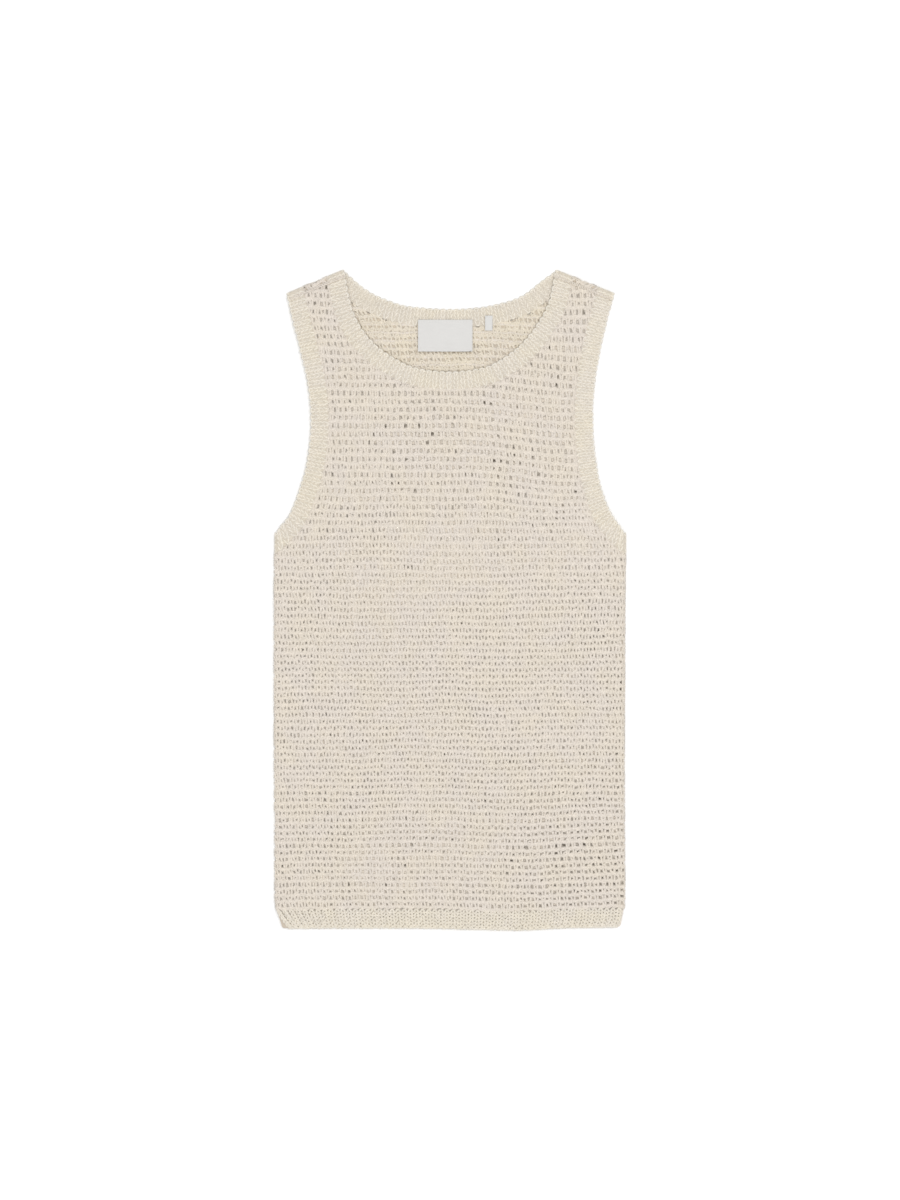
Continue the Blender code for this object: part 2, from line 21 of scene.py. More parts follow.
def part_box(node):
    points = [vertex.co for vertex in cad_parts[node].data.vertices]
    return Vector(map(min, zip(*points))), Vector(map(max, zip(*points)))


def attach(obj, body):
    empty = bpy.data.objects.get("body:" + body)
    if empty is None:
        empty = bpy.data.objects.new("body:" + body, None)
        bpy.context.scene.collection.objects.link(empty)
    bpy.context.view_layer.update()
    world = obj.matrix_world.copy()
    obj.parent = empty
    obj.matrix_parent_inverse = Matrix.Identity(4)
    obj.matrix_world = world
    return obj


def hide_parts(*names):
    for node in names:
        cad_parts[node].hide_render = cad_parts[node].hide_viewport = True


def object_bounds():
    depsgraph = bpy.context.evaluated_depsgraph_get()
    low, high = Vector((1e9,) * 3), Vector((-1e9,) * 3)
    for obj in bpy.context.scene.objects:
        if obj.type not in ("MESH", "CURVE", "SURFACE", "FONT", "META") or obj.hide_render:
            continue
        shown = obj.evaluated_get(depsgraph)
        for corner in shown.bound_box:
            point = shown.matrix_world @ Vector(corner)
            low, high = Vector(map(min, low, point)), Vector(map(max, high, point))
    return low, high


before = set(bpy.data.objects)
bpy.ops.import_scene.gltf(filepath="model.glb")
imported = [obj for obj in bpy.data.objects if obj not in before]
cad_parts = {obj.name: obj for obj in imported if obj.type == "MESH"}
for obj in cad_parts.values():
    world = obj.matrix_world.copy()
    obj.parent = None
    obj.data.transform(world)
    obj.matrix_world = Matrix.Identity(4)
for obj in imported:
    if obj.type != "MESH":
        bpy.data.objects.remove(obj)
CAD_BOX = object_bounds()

LOG = logging.getLogger("knit_tank_top")

Pair = tuple[float, float]
Colour = tuple[float, float, float]
Socket = bpy.types.NodeSocket


class Station(NamedTuple):
    """A height above the hem, with the outline's distance left and right of the centre line."""
    height: float
    left: float
    right: float


class HemPoint(NamedTuple):
    """A place across the hem, with how far the edge lies above the lowest point there."""
    across: float
    height: float


class RowPitch(NamedTuple):
    """The distance from ridge to ridge at a height above the hem."""
    height: float
    pitch: float


# The solids' own sizes
WALL = 0.0024
GAP = 0.0003
MID_HEIGHT = WALL + GAP / 2
TURN_RADIUS = (WALL + GAP) / 2
TURN_REACH = TURN_RADIUS + WALL / 2
BAND_WIDTH = 0.0165
UNDERARM_BAND_WIDTH = 0.0190
BAND_TURN_LENGTH = 0.040
RIB_HEIGHT = 0.0006
NECK_RIB_PITCH = 0.0063
LEFT_ARMHOLE_RIB_PITCH = 0.0065
RIGHT_ARMHOLE_RIB_PITCH = 0.0054
HEM_RIB_LENGTH = 0.0185
HEM_RIBS = 56
LABEL_THICKNESS = 0.0010
COVERED_STRETCH = 0.034
RIB_FADE = 0.014
SHOULDER_SEAM_DROP = 0.0065

SIDE_EDGE = (
    Station(height=0.0000, left=0.1615, right=0.1632),
    Station(height=0.0090, left=0.1650, right=0.1668),
    Station(height=0.0190, left=0.1673, right=0.1678),
    Station(height=0.0300, left=0.1683, right=0.1682),
    Station(height=0.1600, left=0.1688, right=0.1674),
    Station(height=0.3160, left=0.1690, right=0.1682),
    Station(height=0.3795, left=0.1685, right=0.1690),
)
ARMHOLE_EDGE = (
    Station(height=0.3795, left=0.1685, right=0.1690),
    Station(height=0.3862, left=0.1622, right=0.1622),
    Station(height=0.3931, left=0.1560, right=0.1572),
    Station(height=0.4040, left=0.1500, right=0.1510),
    Station(height=0.4219, left=0.1434, right=0.1444),
    Station(height=0.4411, left=0.1376, right=0.1400),
    Station(height=0.4699, left=0.1330, right=0.1366),
    Station(height=0.4987, left=0.1326, right=0.1358),
    Station(height=0.5275, left=0.1360, right=0.1382),
    Station(height=0.5563, left=0.1426, right=0.1430),
    Station(height=0.5851, left=0.1500, right=0.1497),
    Station(height=0.6110, left=0.1560, right=0.1570),
)
FRONT_NECK_EDGE = (
    Station(height=0.6330, left=0.1032, right=0.1027),
    Station(height=0.6024, left=0.0970, right=0.0957),
    Station(height=0.5803, left=0.0881, right=0.0845),
    Station(height=0.5630, left=0.0749, right=0.0708),
    Station(height=0.5486, left=0.0560, right=0.0534),
    Station(height=0.5380, left=0.0330, right=0.0322),
)
FRONT_NECK_BOTTOM = 0.5342
BACK_NECK_EDGE = (
    Station(height=0.6330, left=0.1032, right=0.1027),
    Station(height=0.6225, left=0.0930, right=0.0901),
    Station(height=0.6126, left=0.0806, right=0.0778),
    Station(height=0.6047, left=0.0653, right=0.0650),
    Station(height=0.5983, left=0.0470, right=0.0430),
    Station(height=0.5955, left=0.0269, right=0.0269),
)
BACK_NECK_BOTTOM = 0.5940
HEM_EDGE = (
    HemPoint(across=-0.1640, height=0.0016),
    HemPoint(across=-0.1000, height=0.0021),
    HemPoint(across=-0.0300, height=0.0020),
    HemPoint(across=0.0300, height=0.0008),
    HemPoint(across=0.0700, height=0.0002),
    HemPoint(across=0.1100, height=0.0022),
    HemPoint(across=0.1640, height=0.0032),
)
GARMENT_TOP = 0.6326          # highest shoulder point above the hem's lowest point
ROW_SHIFT = CAD_BOX[1].y - GARMENT_TOP

CURVE_STEPS = 16
TURN_ANGLES = (135.0, 90.0, 45.0)

# The openwork knit
WALE_PITCH = 0.0063
INSIDE_ROW_PITCHES = (RowPitch(height=0.0000, pitch=0.0064), RowPitch(height=0.6300, pitch=0.0064))
ROW_PITCHES = (
    RowPitch(height=0.0000, pitch=0.0063),
    RowPitch(height=0.2600, pitch=0.0063),
    RowPitch(height=0.3300, pitch=0.0067),
    RowPitch(height=0.4100, pitch=0.0078),
    RowPitch(height=0.6300, pitch=0.0078),
)
YARN_RADIUS = 0.00125
BORDER_STEP = 0.0008          # spacing of the samples along a sewn edge
LEG_TAPER = 0.15              # where a stitch leg starts on a half wave, in radians
LEG_END_SHARE = 0.80
LEG_SWELL = 0.25
LEG_SPREAD = (0.92, 1.06)
WAVE_PERIOD = math.pi / 10    # spacing of a wave texture's bands at a scale of 1
RIPPLE_TAPER = (0.15, 0.70)   # where a ripple starts on a half wave, and how much of it it takes


def unit(vector: np.ndarray) -> np.ndarray:
    """The vector at length one."""
    return vector / np.linalg.norm(vector)


def unit_rows(vectors: np.ndarray) -> np.ndarray:
    """The vectors, one to a row, at length one."""
    return vectors / np.linalg.norm(vectors, axis=1)[:, None]


def headings(path: np.ndarray) -> np.ndarray:
    """The path's direction at each of its points."""
    return unit_rows(np.gradient(path, axis=0))


def right_of(ways: np.ndarray) -> np.ndarray:
    """Directions in plan, a quarter turn to the right of these."""
    return np.column_stack([ways[:, 1], -ways[:, 0]])


def smooth_path(points: np.ndarray) -> np.ndarray:
    """A Catmull-Rom curve through points in plan.

    Args:
        points: the points, one to a row.

    Returns:
        The curve, sampled evenly between each pair of points.
    """
    ends = (2 * points[0] - points[1], 2 * points[-1] - points[-2])
    knots = np.vstack([ends[0], points, ends[1]])
    samples = []
    for before, here, there, after in zip(knots, knots[1:], knots[2:], knots[3:]):
        for step in range(CURVE_STEPS):
            t = step / CURVE_STEPS
            samples.append(
                0.5 * (2 * here + (there - before) * t
                       + (2 * before - 5 * here + 4 * there - after) * t ** 2
                       + (3 * here - before - 3 * there + after) * t ** 3))
    samples.append(points[-1])
    return np.array(samples)


def path_run(path: np.ndarray) -> np.ndarray:
    """Distance along the path at each of its points."""
    steps = np.linalg.norm(np.diff(path, axis=0), axis=1)
    return np.concatenate([[0.0], np.cumsum(steps)])


def points_along(path: np.ndarray, fractions: np.ndarray) -> np.ndarray:
    """Points at fractions of the path's length."""
    run = path_run(path)
    places = np.asarray(fractions) * run[-1]
    return np.column_stack([np.interp(places, run, path[:, axis]) for axis in range(path.shape[1])])


def smoothstep(low: float, high: float, value: np.ndarray) -> np.ndarray:
    """0 below low, 1 above high, and a soft rise between them."""
    share = np.clip((value - low) / (high - low), 0.0, 1.0)
    return share * share * (3.0 - 2.0 * share)


class Span(NamedTuple):
    """A stretch of a measure, such as of the height above the hem."""
    low: float
    high: float

    def rise(self, value: np.ndarray) -> np.ndarray:
        """0 below the stretch, 1 above it, and a soft rise along it."""
        return smoothstep(self.low, self.high, value)

    def fall(self, value: np.ndarray) -> np.ndarray:
        """1 below the stretch, 0 above it, and a soft fall along it."""
        return 1.0 - smoothstep(self.low, self.high, value)

    def held(self, value: np.ndarray) -> np.ndarray:
        """The value, kept inside the stretch."""
        return np.clip(value, self.low, self.high)


class Fold(NamedTuple):
    """A straight fold in plan, with its turning axis inside the outline."""
    start: np.ndarray
    end: np.ndarray
    outward: np.ndarray

    def turn(self, point: np.ndarray, angle: float) -> tuple[np.ndarray, np.ndarray]:
        """The wall's middle surface part of the way round the fold.

        Args:
            point: a place on the fold's axis, in plan.
            angle: degrees round from the back layer.

        Returns:
            The point on the middle surface, and the outer normal there.
        """
        sine = math.sin(math.radians(angle))
        cosine = math.cos(math.radians(angle))
        place = point + self.outward * TURN_RADIUS * sine
        normal = np.array([*(self.outward * sine), -cosine])
        return np.array([*place, MID_HEIGHT - TURN_RADIUS * cosine]), normal


def fold_inside(start: np.ndarray, end: np.ndarray) -> Fold:
    """A fold whose rounded edge reaches the line between two outline points.

    Args:
        start: the first outline point.
        end: the last one.

    Returns:
        The fold, with its axis moved inside the outline.
    """
    along = unit(end - start)
    outward = np.array([-along[1], along[0]])
    if np.dot(outward, -start) > 0:
        outward = -outward
    return Fold(start - outward * TURN_REACH, end - outward * TURN_REACH, outward)


def plan_point(station: Station, side: int) -> np.ndarray:
    """A station's point on the left (-1) or right (+1) of the outline, in the row frame."""
    reach = station.left if side < 0 else station.right
    return np.array([side * reach, station.height + ROW_SHIFT])


class Strip(NamedTuple):
    """A band's two edges in plan, section by section."""
    free: np.ndarray
    seam: np.ndarray


@dataclass
class Outline:
    """The garment's folds and edges in plan."""
    samples: int = 400
    shoulders: dict = field(init=False)
    underarms: dict = field(init=False)
    strips: dict = field(init=False)

    def __post_init__(self) -> None:
        """Work out the folds, and each band's strip, named for where it lies."""
        self.shoulders = {side: self.shoulder(side) for side in (-1, 1)}
        self.underarms = {side: self.underarm(side) for side in (-1, 1)}
        ways = [unit(fold.end - fold.start) for fold in self.shoulders.values()]
        widths = (BAND_WIDTH, BAND_WIDTH)
        front_neck = self.neck(FRONT_NECK_EDGE, FRONT_NECK_BOTTOM)
        back_neck = self.neck(BACK_NECK_EDGE, BACK_NECK_BOTTOM)
        self.strips = {
            "front_neck": self.strip(front_neck, ways, widths),
            "back_neck": self.strip(back_neck, ways, widths),
        }
        for side in (-1, 1):
            underarm_way = unit(self.underarms[side].end - self.underarms[side].start)
            shoulder_way = unit(self.shoulders[side].start - self.shoulders[side].end)
            ways = (underarm_way, shoulder_way)[::-side]
            widths = (UNDERARM_BAND_WIDTH, BAND_WIDTH)[::-side]
            self.strips[("armhole", side)] = self.strip(self.armhole(side), ways, widths)

    @staticmethod
    def shoulder(side: int) -> Fold:
        """The shoulder's fold from the neck point to the armhole."""
        return fold_inside(plan_point(FRONT_NECK_EDGE[0], side), plan_point(ARMHOLE_EDGE[-1], side))

    @staticmethod
    def underarm(side: int) -> Fold:
        """The side's fold beside the underarm.

        Args:
            side: left (-1) or right (+1) in the picture.

        Returns:
            The fold, from the underarm down.
        """
        high = plan_point(ARMHOLE_EDGE[0], side)
        low = np.array([high[0], plan_point(SIDE_EDGE[-2], side)[1]])
        outward = np.array([float(side), 0.0])
        return Fold(high - outward * TURN_REACH, low - outward * TURN_REACH, outward)

    def neck(self, stations: Sequence[Station], bottom: float) -> np.ndarray:
        """A neckline's free edge.

        Args:
            stations: its heights and half widths, from the shoulder down.
            bottom: its lowest height, on the centre line.

        Returns:
            The edge in plan, from the left shoulder's fold to the right one.
        """
        left = [plan_point(station, -1) for station in stations[1:]]
        right = [plan_point(station, 1) for station in reversed(stations[1:])]
        middle = [np.array([0.0, bottom + ROW_SHIFT])]
        ends = (self.shoulders[-1].start, self.shoulders[1].start)
        return smooth_path(np.array([ends[0], *left, *middle, *right, ends[1]]))

    def armhole(self, side: int) -> np.ndarray:
        """An armhole's free edge, with the body on its right hand.

        Args:
            side: left (-1) or right (+1) in the picture.

        Returns:
            The edge in plan: up the left armhole, or down the right one.
        """
        inner = [plan_point(station, side) for station in ARMHOLE_EDGE[1:-1]]
        points = [self.underarms[side].start, *inner, self.shoulders[side].end]
        if side > 0:
            points.reverse()
        return smooth_path(np.array(points))

    def strip(self, path: np.ndarray, ways: Sequence[np.ndarray], widths: Sequence[float]) -> Strip:
        """A band's sections, which swing round at its ends to lie along the folds.

        Args:
            path: the free edge.
            ways: directions from the free edge to the seam along the first and last fold.
            widths: the band's widths there.

        Returns:
            The free edge and the seam edge, at even fractions of the path.
        """
        run = path_run(path)
        along = headings(path)
        fractions = np.linspace(0.0, 1.0, self.samples)
        free = points_along(path, fractions)
        distance = fractions * run[-1]
        heading = np.column_stack([np.interp(distance, run, along[:, axis]) for axis in (0, 1)])
        way = right_of(heading)
        width = np.full(self.samples, BAND_WIDTH)
        for end_way, end_width, left_to_go in zip(ways, widths, (distance, run[-1] - distance)):
            share = np.maximum(0.0, 1.0 - left_to_go / BAND_TURN_LENGTH) ** 2
            way = unit_rows((1 - share)[:, None] * unit_rows(way) + share[:, None] * end_way)
            width = (1 - share) * width + share * end_width
        return Strip(free, free + way * width[:, None])


class Face(Enum):
    """Which face of a panel the yarn lies on, and its side of the surface between the layers."""
    BACK = -1
    INSIDE = 0
    FRONT = 1


@dataclass
class Noise:
    """Smooth seeded noise over a plan, from -1 to 1, with a lattice of random values."""
    pitch: float
    seed: int
    cells: int = 160

    def __post_init__(self) -> None:
        """Draw the lattice."""
        self.lattice = np.random.default_rng(self.seed).uniform(-1.0, 1.0, (self.cells, self.cells))

    def at(self, x: np.ndarray, y: np.ndarray) -> np.ndarray:
        """The noise at points, with soft steps from one lattice value to the next.

        Args:
            x: places across.
            y: places up.

        Returns:
            A value for each point.
        """
        across = np.asarray(x) / self.pitch + self.cells / 2
        up = np.asarray(y) / self.pitch + self.cells / 2
        column = np.floor(across).astype(int)
        row = np.floor(up).astype(int)
        right = smoothstep(0.0, 1.0, across - column)
        above = smoothstep(0.0, 1.0, up - row)

        def corner(dx: int, dy: int) -> np.ndarray:
            """Lattice values at one corner of each point's cell."""
            return self.lattice[(row + dy) % self.cells, (column + dx) % self.cells]

        low = corner(0, 0) * (1 - right) + corner(1, 0) * right
        high = corner(0, 1) * (1 - right) + corner(1, 1) * right
        return low * (1 - above) + high * above


class SideEdge:
    """The fold axis along each side, by height in the row frame."""

    def __init__(self) -> None:
        """Read the table once."""
        self.heights = np.array([station.height for station in SIDE_EDGE]) + ROW_SHIFT
        self.reach = {
            -1: np.array([station.left for station in SIDE_EDGE]) - TURN_REACH,
            1: np.array([station.right for station in SIDE_EDGE]) - TURN_REACH,
        }

    def axis(self, y: np.ndarray, side: int) -> np.ndarray:
        """How far one side's axis lies from the centre line."""
        return np.interp(y, self.heights, self.reach[side])

    def near(self, x: np.ndarray, y: np.ndarray) -> np.ndarray:
        """How far the axis lies from the centre line, on the side of each place."""
        return np.where(x < 0, self.axis(y, -1), self.axis(y, 1))


HEM_PATH = smooth_path(np.array(HEM_EDGE))


def hem_lift(x: np.ndarray) -> np.ndarray:
    """How far the hem's edge lies above its lowest point."""
    return np.interp(x, HEM_PATH[:, 0], HEM_PATH[:, 1])


@dataclass
class KnitGrid:
    """Where the wales and ridges of a panel lie in plan. The knit isn't quite even."""
    pitches: Sequence[RowPitch] = ROW_PITCHES
    first_height: float = HEM_RIB_LENGTH + 0.0014
    last_height: float = 0.665
    low_right_stretch: float = 0.014
    left_armhole_squeeze: float = 0.008
    right_slope: float = 0.010
    jitter: float = 0.00075
    sway: float = 0.0012
    wave_size: float = 0.045
    wave_offset: float = 0.5
    shake_sizes: Pair = (0.0062, 0.0066)
    stretch_across: tuple[float, float, float] = (-0.17, 0.08, 0.175)
    squeeze_across: Pair = (-0.14, -0.06)
    low_part: Span = Span(0.05, 0.20)
    hem_part: Span = Span(0.0, 0.3)
    armhole_foot: Span = Span(0.39, 0.43)
    chest_foot: Span = Span(0.37, 0.45)
    shoulder_foot: Span = Span(0.52, 0.60)
    right_half: Span = Span(0.015, 0.125)
    corner_across: Span = Span(0.01, 0.09)
    corner_height: Span = Span(0.06, 0.20)
    belly_foot: Span = Span(0.10, 0.20)
    belly_top: Span = Span(0.33, 0.43)
    loose_foot: Span = Span(0.38, 0.46)
    corner_ease: float = 0.35
    belly_ease: float = -1.8
    chest_ease: float = 0.6

    def __post_init__(self) -> None:
        """Step up the panel, one ridge at a time."""
        table = np.array(self.pitches)
        heights = [self.first_height]
        while heights[-1] < self.last_height:
            heights.append(heights[-1] + np.interp(heights[-1], table[:, 0], table[:, 1]))
        self.heights = np.array(heights)
        self.wave = Noise(self.wave_size, 11)
        self.shake_x = Noise(self.shake_sizes[0], 12)
        self.shake_y = Noise(self.shake_sizes[1], 13)

    @property
    def ridges(self) -> int:
        """How many ridges there are from the hem to above the shoulders."""
        return len(self.heights)

    def ease(self, x: np.ndarray, y: np.ndarray) -> np.ndarray:
        """How loose the knitting is: tight over the belly, looser at the hem's right and the chest.

        Args:
            x: places across.
            y: places up.

        Returns:
            The looseness at each place, 0 where the knitting is as usual.
        """
        height = y - ROW_SHIFT
        corner = self.corner_across.rise(x) * self.corner_height.fall(height)
        belly = self.belly_foot.rise(height) * self.belly_top.fall(height)
        chest = self.loose_foot.rise(height)
        return self.corner_ease * corner + self.belly_ease * belly + self.chest_ease * chest

    def place(self, wale: np.ndarray, ridge: np.ndarray) -> tuple[np.ndarray, np.ndarray]:
        """Plan coordinates of places in the knitting.

        Args:
            wale: wales from the centre line.
            ridge: ridges above the first one.

        Returns:
            x and y in the row frame, before the cloth turns round its sides.
        """
        x = wale * WALE_PITCH
        height = np.interp(ridge, np.arange(self.ridges), self.heights)
        below_first = np.minimum(ridge, 0.0) * ROW_PITCHES[0].pitch
        height = height + below_first
        low = self.low_part.fall(height)
        x = x - low * self.low_right_stretch * np.interp(x, self.stretch_across, (0.0, 1.0, 0.0))
        beside = self.armhole_foot.rise(height) * self.shoulder_foot.fall(height)
        x = x + beside * self.left_armhole_squeeze * np.interp(x, self.squeeze_across, (1.0, 0.0))
        chest = self.chest_foot.rise(height) * self.shoulder_foot.fall(height)
        drop = self.right_slope * self.right_half.rise(x) * chest
        y = height - drop + ROW_SHIFT
        lift = hem_lift(x) * self.hem_part.fall(height)
        x = x + self.sway * self.wave.at(x, y) + self.jitter * self.shake_x.at(x, y)
        wave = self.wave.at(x + self.wave_offset, y)
        y = y + lift + self.sway * wave + self.jitter * self.shake_y.at(x, y)
        return x, y


class Border:
    """A sewn edge that loops may not cross, with the side that the cloth lies on."""

    def __init__(self, path: np.ndarray, inner_point: np.ndarray) -> None:
        """Keep the path as evenly spaced samples with outward normals.

        Args:
            path: the edge's points in plan, in order.
            inner_point: a point on the cloth's side of the middle of the path.
        """
        length = path_run(path)[-1]
        count = max(2, int(length / BORDER_STEP))
        self.points = points_along(path, np.linspace(0.0, 1.0, count))
        self.normals = right_of(headings(self.points))
        middle = count // 2
        if np.dot(self.normals[middle], inner_point - self.points[middle]) > 0:
            self.normals = -self.normals
        self.tree = kdtree.KDTree(count)
        for number, (x, y) in enumerate(self.points):
            self.tree.insert((x, y, 0.0), number)
        self.tree.balance()

    def depth(self, x: np.ndarray, y: np.ndarray) -> tuple[np.ndarray, np.ndarray]:
        """How far points lie beyond the edge.

        Args:
            x: places across.
            y: places up.

        Returns:
            The distances, below zero inside, and the number of the sample nearest to each.
        """
        nearest = np.array([self.tree.find((px, py, 0.0))[1] for px, py in zip(x, y)], int)
        away = np.column_stack([x, y]) - self.points[nearest]
        return np.einsum("ij,ij->i", away, self.normals[nearest]), nearest


class Ripple(NamedTuple):
    """A soft ridge in the laid cloth, from one place to another in row frame metres."""
    start: tuple[float, float]
    end: tuple[float, float]
    width: float
    rise: float


FRONT_RIPPLES = (
    Ripple((-0.128, -0.268), (-0.098, -0.180), 0.011, 0.0009),
    Ripple((-0.060, -0.292), (-0.042, -0.215), 0.009, 0.0007),
    Ripple((0.000, -0.285), (0.012, -0.235), 0.008, 0.0006),
    Ripple((0.070, -0.290), (0.062, -0.230), 0.009, 0.0008),
    Ripple((0.130, -0.275), (0.112, -0.170), 0.011, 0.0009),
    Ripple((-0.150, -0.100), (-0.120, 0.040), 0.014, 0.0008),
    Ripple((0.148, -0.090), (0.128, 0.030), 0.014, 0.0008),
    Ripple((-0.118, 0.090), (-0.050, 0.045), 0.012, 0.0008),
    Ripple((0.122, 0.085), (0.045, 0.050), 0.012, 0.0009),
    Ripple((-0.060, 0.175), (0.055, 0.172), 0.009, 0.0006),
    Ripple((-0.030, -0.080), (0.050, -0.105), 0.018, 0.0007),
)
BACK_RIPPLES = (
    Ripple((-0.120, -0.240), (-0.090, -0.130), 0.013, 0.0006),
    Ripple((0.100, -0.250), (0.080, -0.150), 0.013, 0.0006),
    Ripple((-0.110, 0.080), (-0.030, 0.030), 0.014, 0.0006),
    Ripple((0.115, 0.075), (0.040, 0.035), 0.014, 0.0006),
    Ripple((-0.040, 0.160), (0.050, 0.152), 0.012, 0.0005),
)


def ripple_lift(ripples: Sequence[Ripple], x: np.ndarray, y: np.ndarray) -> np.ndarray:
    """How far ripples raise the cloth off the surface it lies on.

    Args:
        ripples: the ripples.
        x: places across.
        y: places up.

    Returns:
        The rise at each place.
    """
    lift = np.zeros(np.shape(x))
    for ripple in ripples:
        start = np.array(ripple.start)
        run = np.array(ripple.end) - start
        from_start = np.stack([x, y], axis=-1) - start
        share = np.clip(from_start @ run / (run @ run), 0.0, 1.0)
        away = np.linalg.norm(from_start - share[..., None] * run, axis=-1)
        taper = np.sin(math.pi * (RIPPLE_TAPER[0] + RIPPLE_TAPER[1] * share))
        lift = lift + ripple.rise * taper * np.exp(-(away / ripple.width) ** 2)
    return lift


@dataclass
class PanelLay:
    """Turns places in the unrolled knitting into points on a face of a panel."""
    face: Face
    outline: Outline
    grid: KnitGrid
    tuck: float = 0.0014
    past_seam: float = 0.030

    def __post_init__(self) -> None:
        """Collect the sewn edges."""
        self.sides = SideEdge()
        self.neck = "front_neck" if self.face is Face.FRONT else "back_neck"
        centre = np.array([0.0, 0.0])
        neck = self.outline.strips[self.neck].seam
        folds = self.outline.shoulders
        first = neck[0] + folds[-1].outward * self.past_seam
        last = neck[-1] + folds[1].outward * self.past_seam
        neck = np.vstack([first, neck, last])
        self.borders = [Border(neck, centre)]
        for side in (-1, 1):
            seam = self.outline.strips[("armhole", side)].seam
            seam = seam if side < 0 else seam[::-1]
            outer = seam[0] + np.array([side * self.past_seam, 0.0])
            upper = seam[-1] + folds[side].outward * self.past_seam
            self.borders.append(Border(np.vstack([outer, seam, upper]), centre))
            self.borders.append(self.shoulder_border(side))

    def shoulder_border(self, side: int) -> Border:
        """The shoulder seam: on the front, or past the fold on the unrolled back.

        Args:
            side: left (-1) or right (+1) in the picture.

        Returns:
            The seam as an edge that the yarn may not cross.
        """
        fold = self.outline.shoulders[side]
        drop = SHOULDER_SEAM_DROP - TURN_REACH
        reach = -drop if self.face is Face.FRONT else math.pi * TURN_REACH + drop - GAP
        if self.face is Face.INSIDE:
            reach = 0.0
        line = np.array([fold.start, fold.end]) + fold.outward * reach
        return Border(line, np.array([0.0, 0.0]))

    def keep(self, x: np.ndarray, y: np.ndarray) -> tuple[np.ndarray, np.ndarray, np.ndarray]:
        """Pull points that lie past a sewn edge back onto it.

        Args:
            x: places across.
            y: places up.

        Returns:
            The moved x and y, and how far each point had lain beyond the edge.
        """
        x = x.copy()
        y = y.copy()
        over = np.full(len(x), -1.0)
        for border in self.borders:
            depth, nearest = border.depth(x, y)
            beyond = depth > 0.0
            back = border.normals[nearest] * np.maximum(depth, 0.0)[:, None]
            x[beyond] -= back[beyond, 0]
            y[beyond] -= back[beyond, 1]
            over = np.maximum(over, depth)
        return x, y, over

    def onto(self, x: np.ndarray, y: np.ndarray, lift: np.ndarray) -> np.ndarray:
        """Points at a height over the panel's face, turned round its sides and shoulders.

        Args:
            x: places across the unrolled cloth.
            y: places up.
            lift: heights over the face.

        Returns:
            Points in the row frame, one to a row.
        """
        if self.face is Face.INSIDE:
            return np.column_stack([x, y, WALL + lift])
        if self.face is Face.FRONT:
            lift = lift + ripple_lift(FRONT_RIPPLES, x, y)
        else:
            lift = lift - ripple_lift(BACK_RIPPLES, x, y)
        reach = TURN_REACH + lift
        side = np.where(x < 0, -1, 1)
        axis = self.sides.near(x, y)
        past = np.maximum(np.abs(x) - axis, 0.0)
        angle = np.minimum(past / TURN_REACH, math.pi / 2)
        across = np.where(past > 0, side * (axis + reach * np.sin(angle)), x)
        places = np.column_stack([across, y, reach * np.cos(angle)])
        if self.face is Face.BACK:
            for fold in self.outline.shoulders.values():
                self.turn_over(places, fold, reach)
        places[:, 2] = MID_HEIGHT + self.face.value * places[:, 2]
        return places

    @staticmethod
    def turn_over(places: np.ndarray, fold: Fold, reach: np.ndarray) -> None:
        """Turn the points that lie past a shoulder's fold over it, in place.

        Args:
            places: points, with their heights from the middle between the layers.
            fold: the shoulder's fold.
            reach: how far each point lies from the fold's axis as it turns.
        """
        plan = places[:, :2] - fold.start
        past = plan @ fold.outward
        beside = np.sign(places[:, 0]) == np.sign(fold.outward[0])
        rows = np.flatnonzero((past > 0) & beside)
        angle = np.minimum(past[rows] / TURN_REACH, math.pi)
        beyond = np.maximum(past[rows] - math.pi * TURN_REACH, 0.0)
        offset = reach[rows] * np.sin(angle) - beyond
        places[rows, :2] += (offset - past[rows])[:, None] * fold.outward
        places[rows, 2] = reach[rows] * np.cos(angle)


class Strand(NamedTuple):
    """One length of yarn: its points and its thickness at each, as a share of the yarn's."""
    points: np.ndarray
    shares: np.ndarray


Wrap = Callable[[np.ndarray, np.ndarray, np.ndarray], np.ndarray]


def yarn_piece(
    name: str,
    strands: Sequence[Strand],
    radius: float,
    finish: bpy.types.Material,
    wrap: Wrap | None = None,
    flatness: float = 1.0,
) -> bpy.types.Object:
    """Lengths of yarn as one mesh piece.

    Args:
        name: the piece's name.
        strands: the lengths of yarn.
        radius: the yarn's radius where a strand's share is 1.
        finish: the material.
        wrap: lays the knitting on a form, from places across, up and over its face.
        flatness: how much of its height the yarn keeps where it is pressed flat.

    Returns:
        The piece, at the origin with its place in its mesh.
    """
    curve = bpy.data.curves.new(name, "CURVE")
    curve.dimensions = "3D"
    curve.bevel_depth = radius
    curve.bevel_resolution = 0
    curve.use_fill_caps = True
    for strand in strands:
        spline = curve.splines.new("POLY")
        spline.points.add(len(strand.points) - 1)
        places = strand.points * (1.0, 1.0, 1.0 / flatness)
        spline.points.foreach_set("co", np.column_stack([places, np.ones(len(places))]).ravel())
        spline.points.foreach_set("radius", strand.shares)
    source = bpy.data.objects.new(name + "_source", curve)
    bpy.context.scene.collection.objects.link(source)
    bpy.context.view_layer.update()
    evaluated = source.evaluated_get(bpy.context.evaluated_depsgraph_get())
    mesh = bpy.data.meshes.new_from_object(evaluated)
    bpy.data.objects.remove(source)
    bpy.data.curves.remove(curve)
    mesh.name = name
    mesh.materials.clear()
    if wrap is not None:
        places = np.empty(len(mesh.vertices) * 3)
        mesh.vertices.foreach_get("co", places)
        places = places.reshape(-1, 3)
        places = wrap(places[:, 0], places[:, 1], places[:, 2] * flatness)
        mesh.vertices.foreach_set("co", places.ravel())
        mesh.update()
    mesh.shade_smooth()
    return cloth_object(mesh, finish)


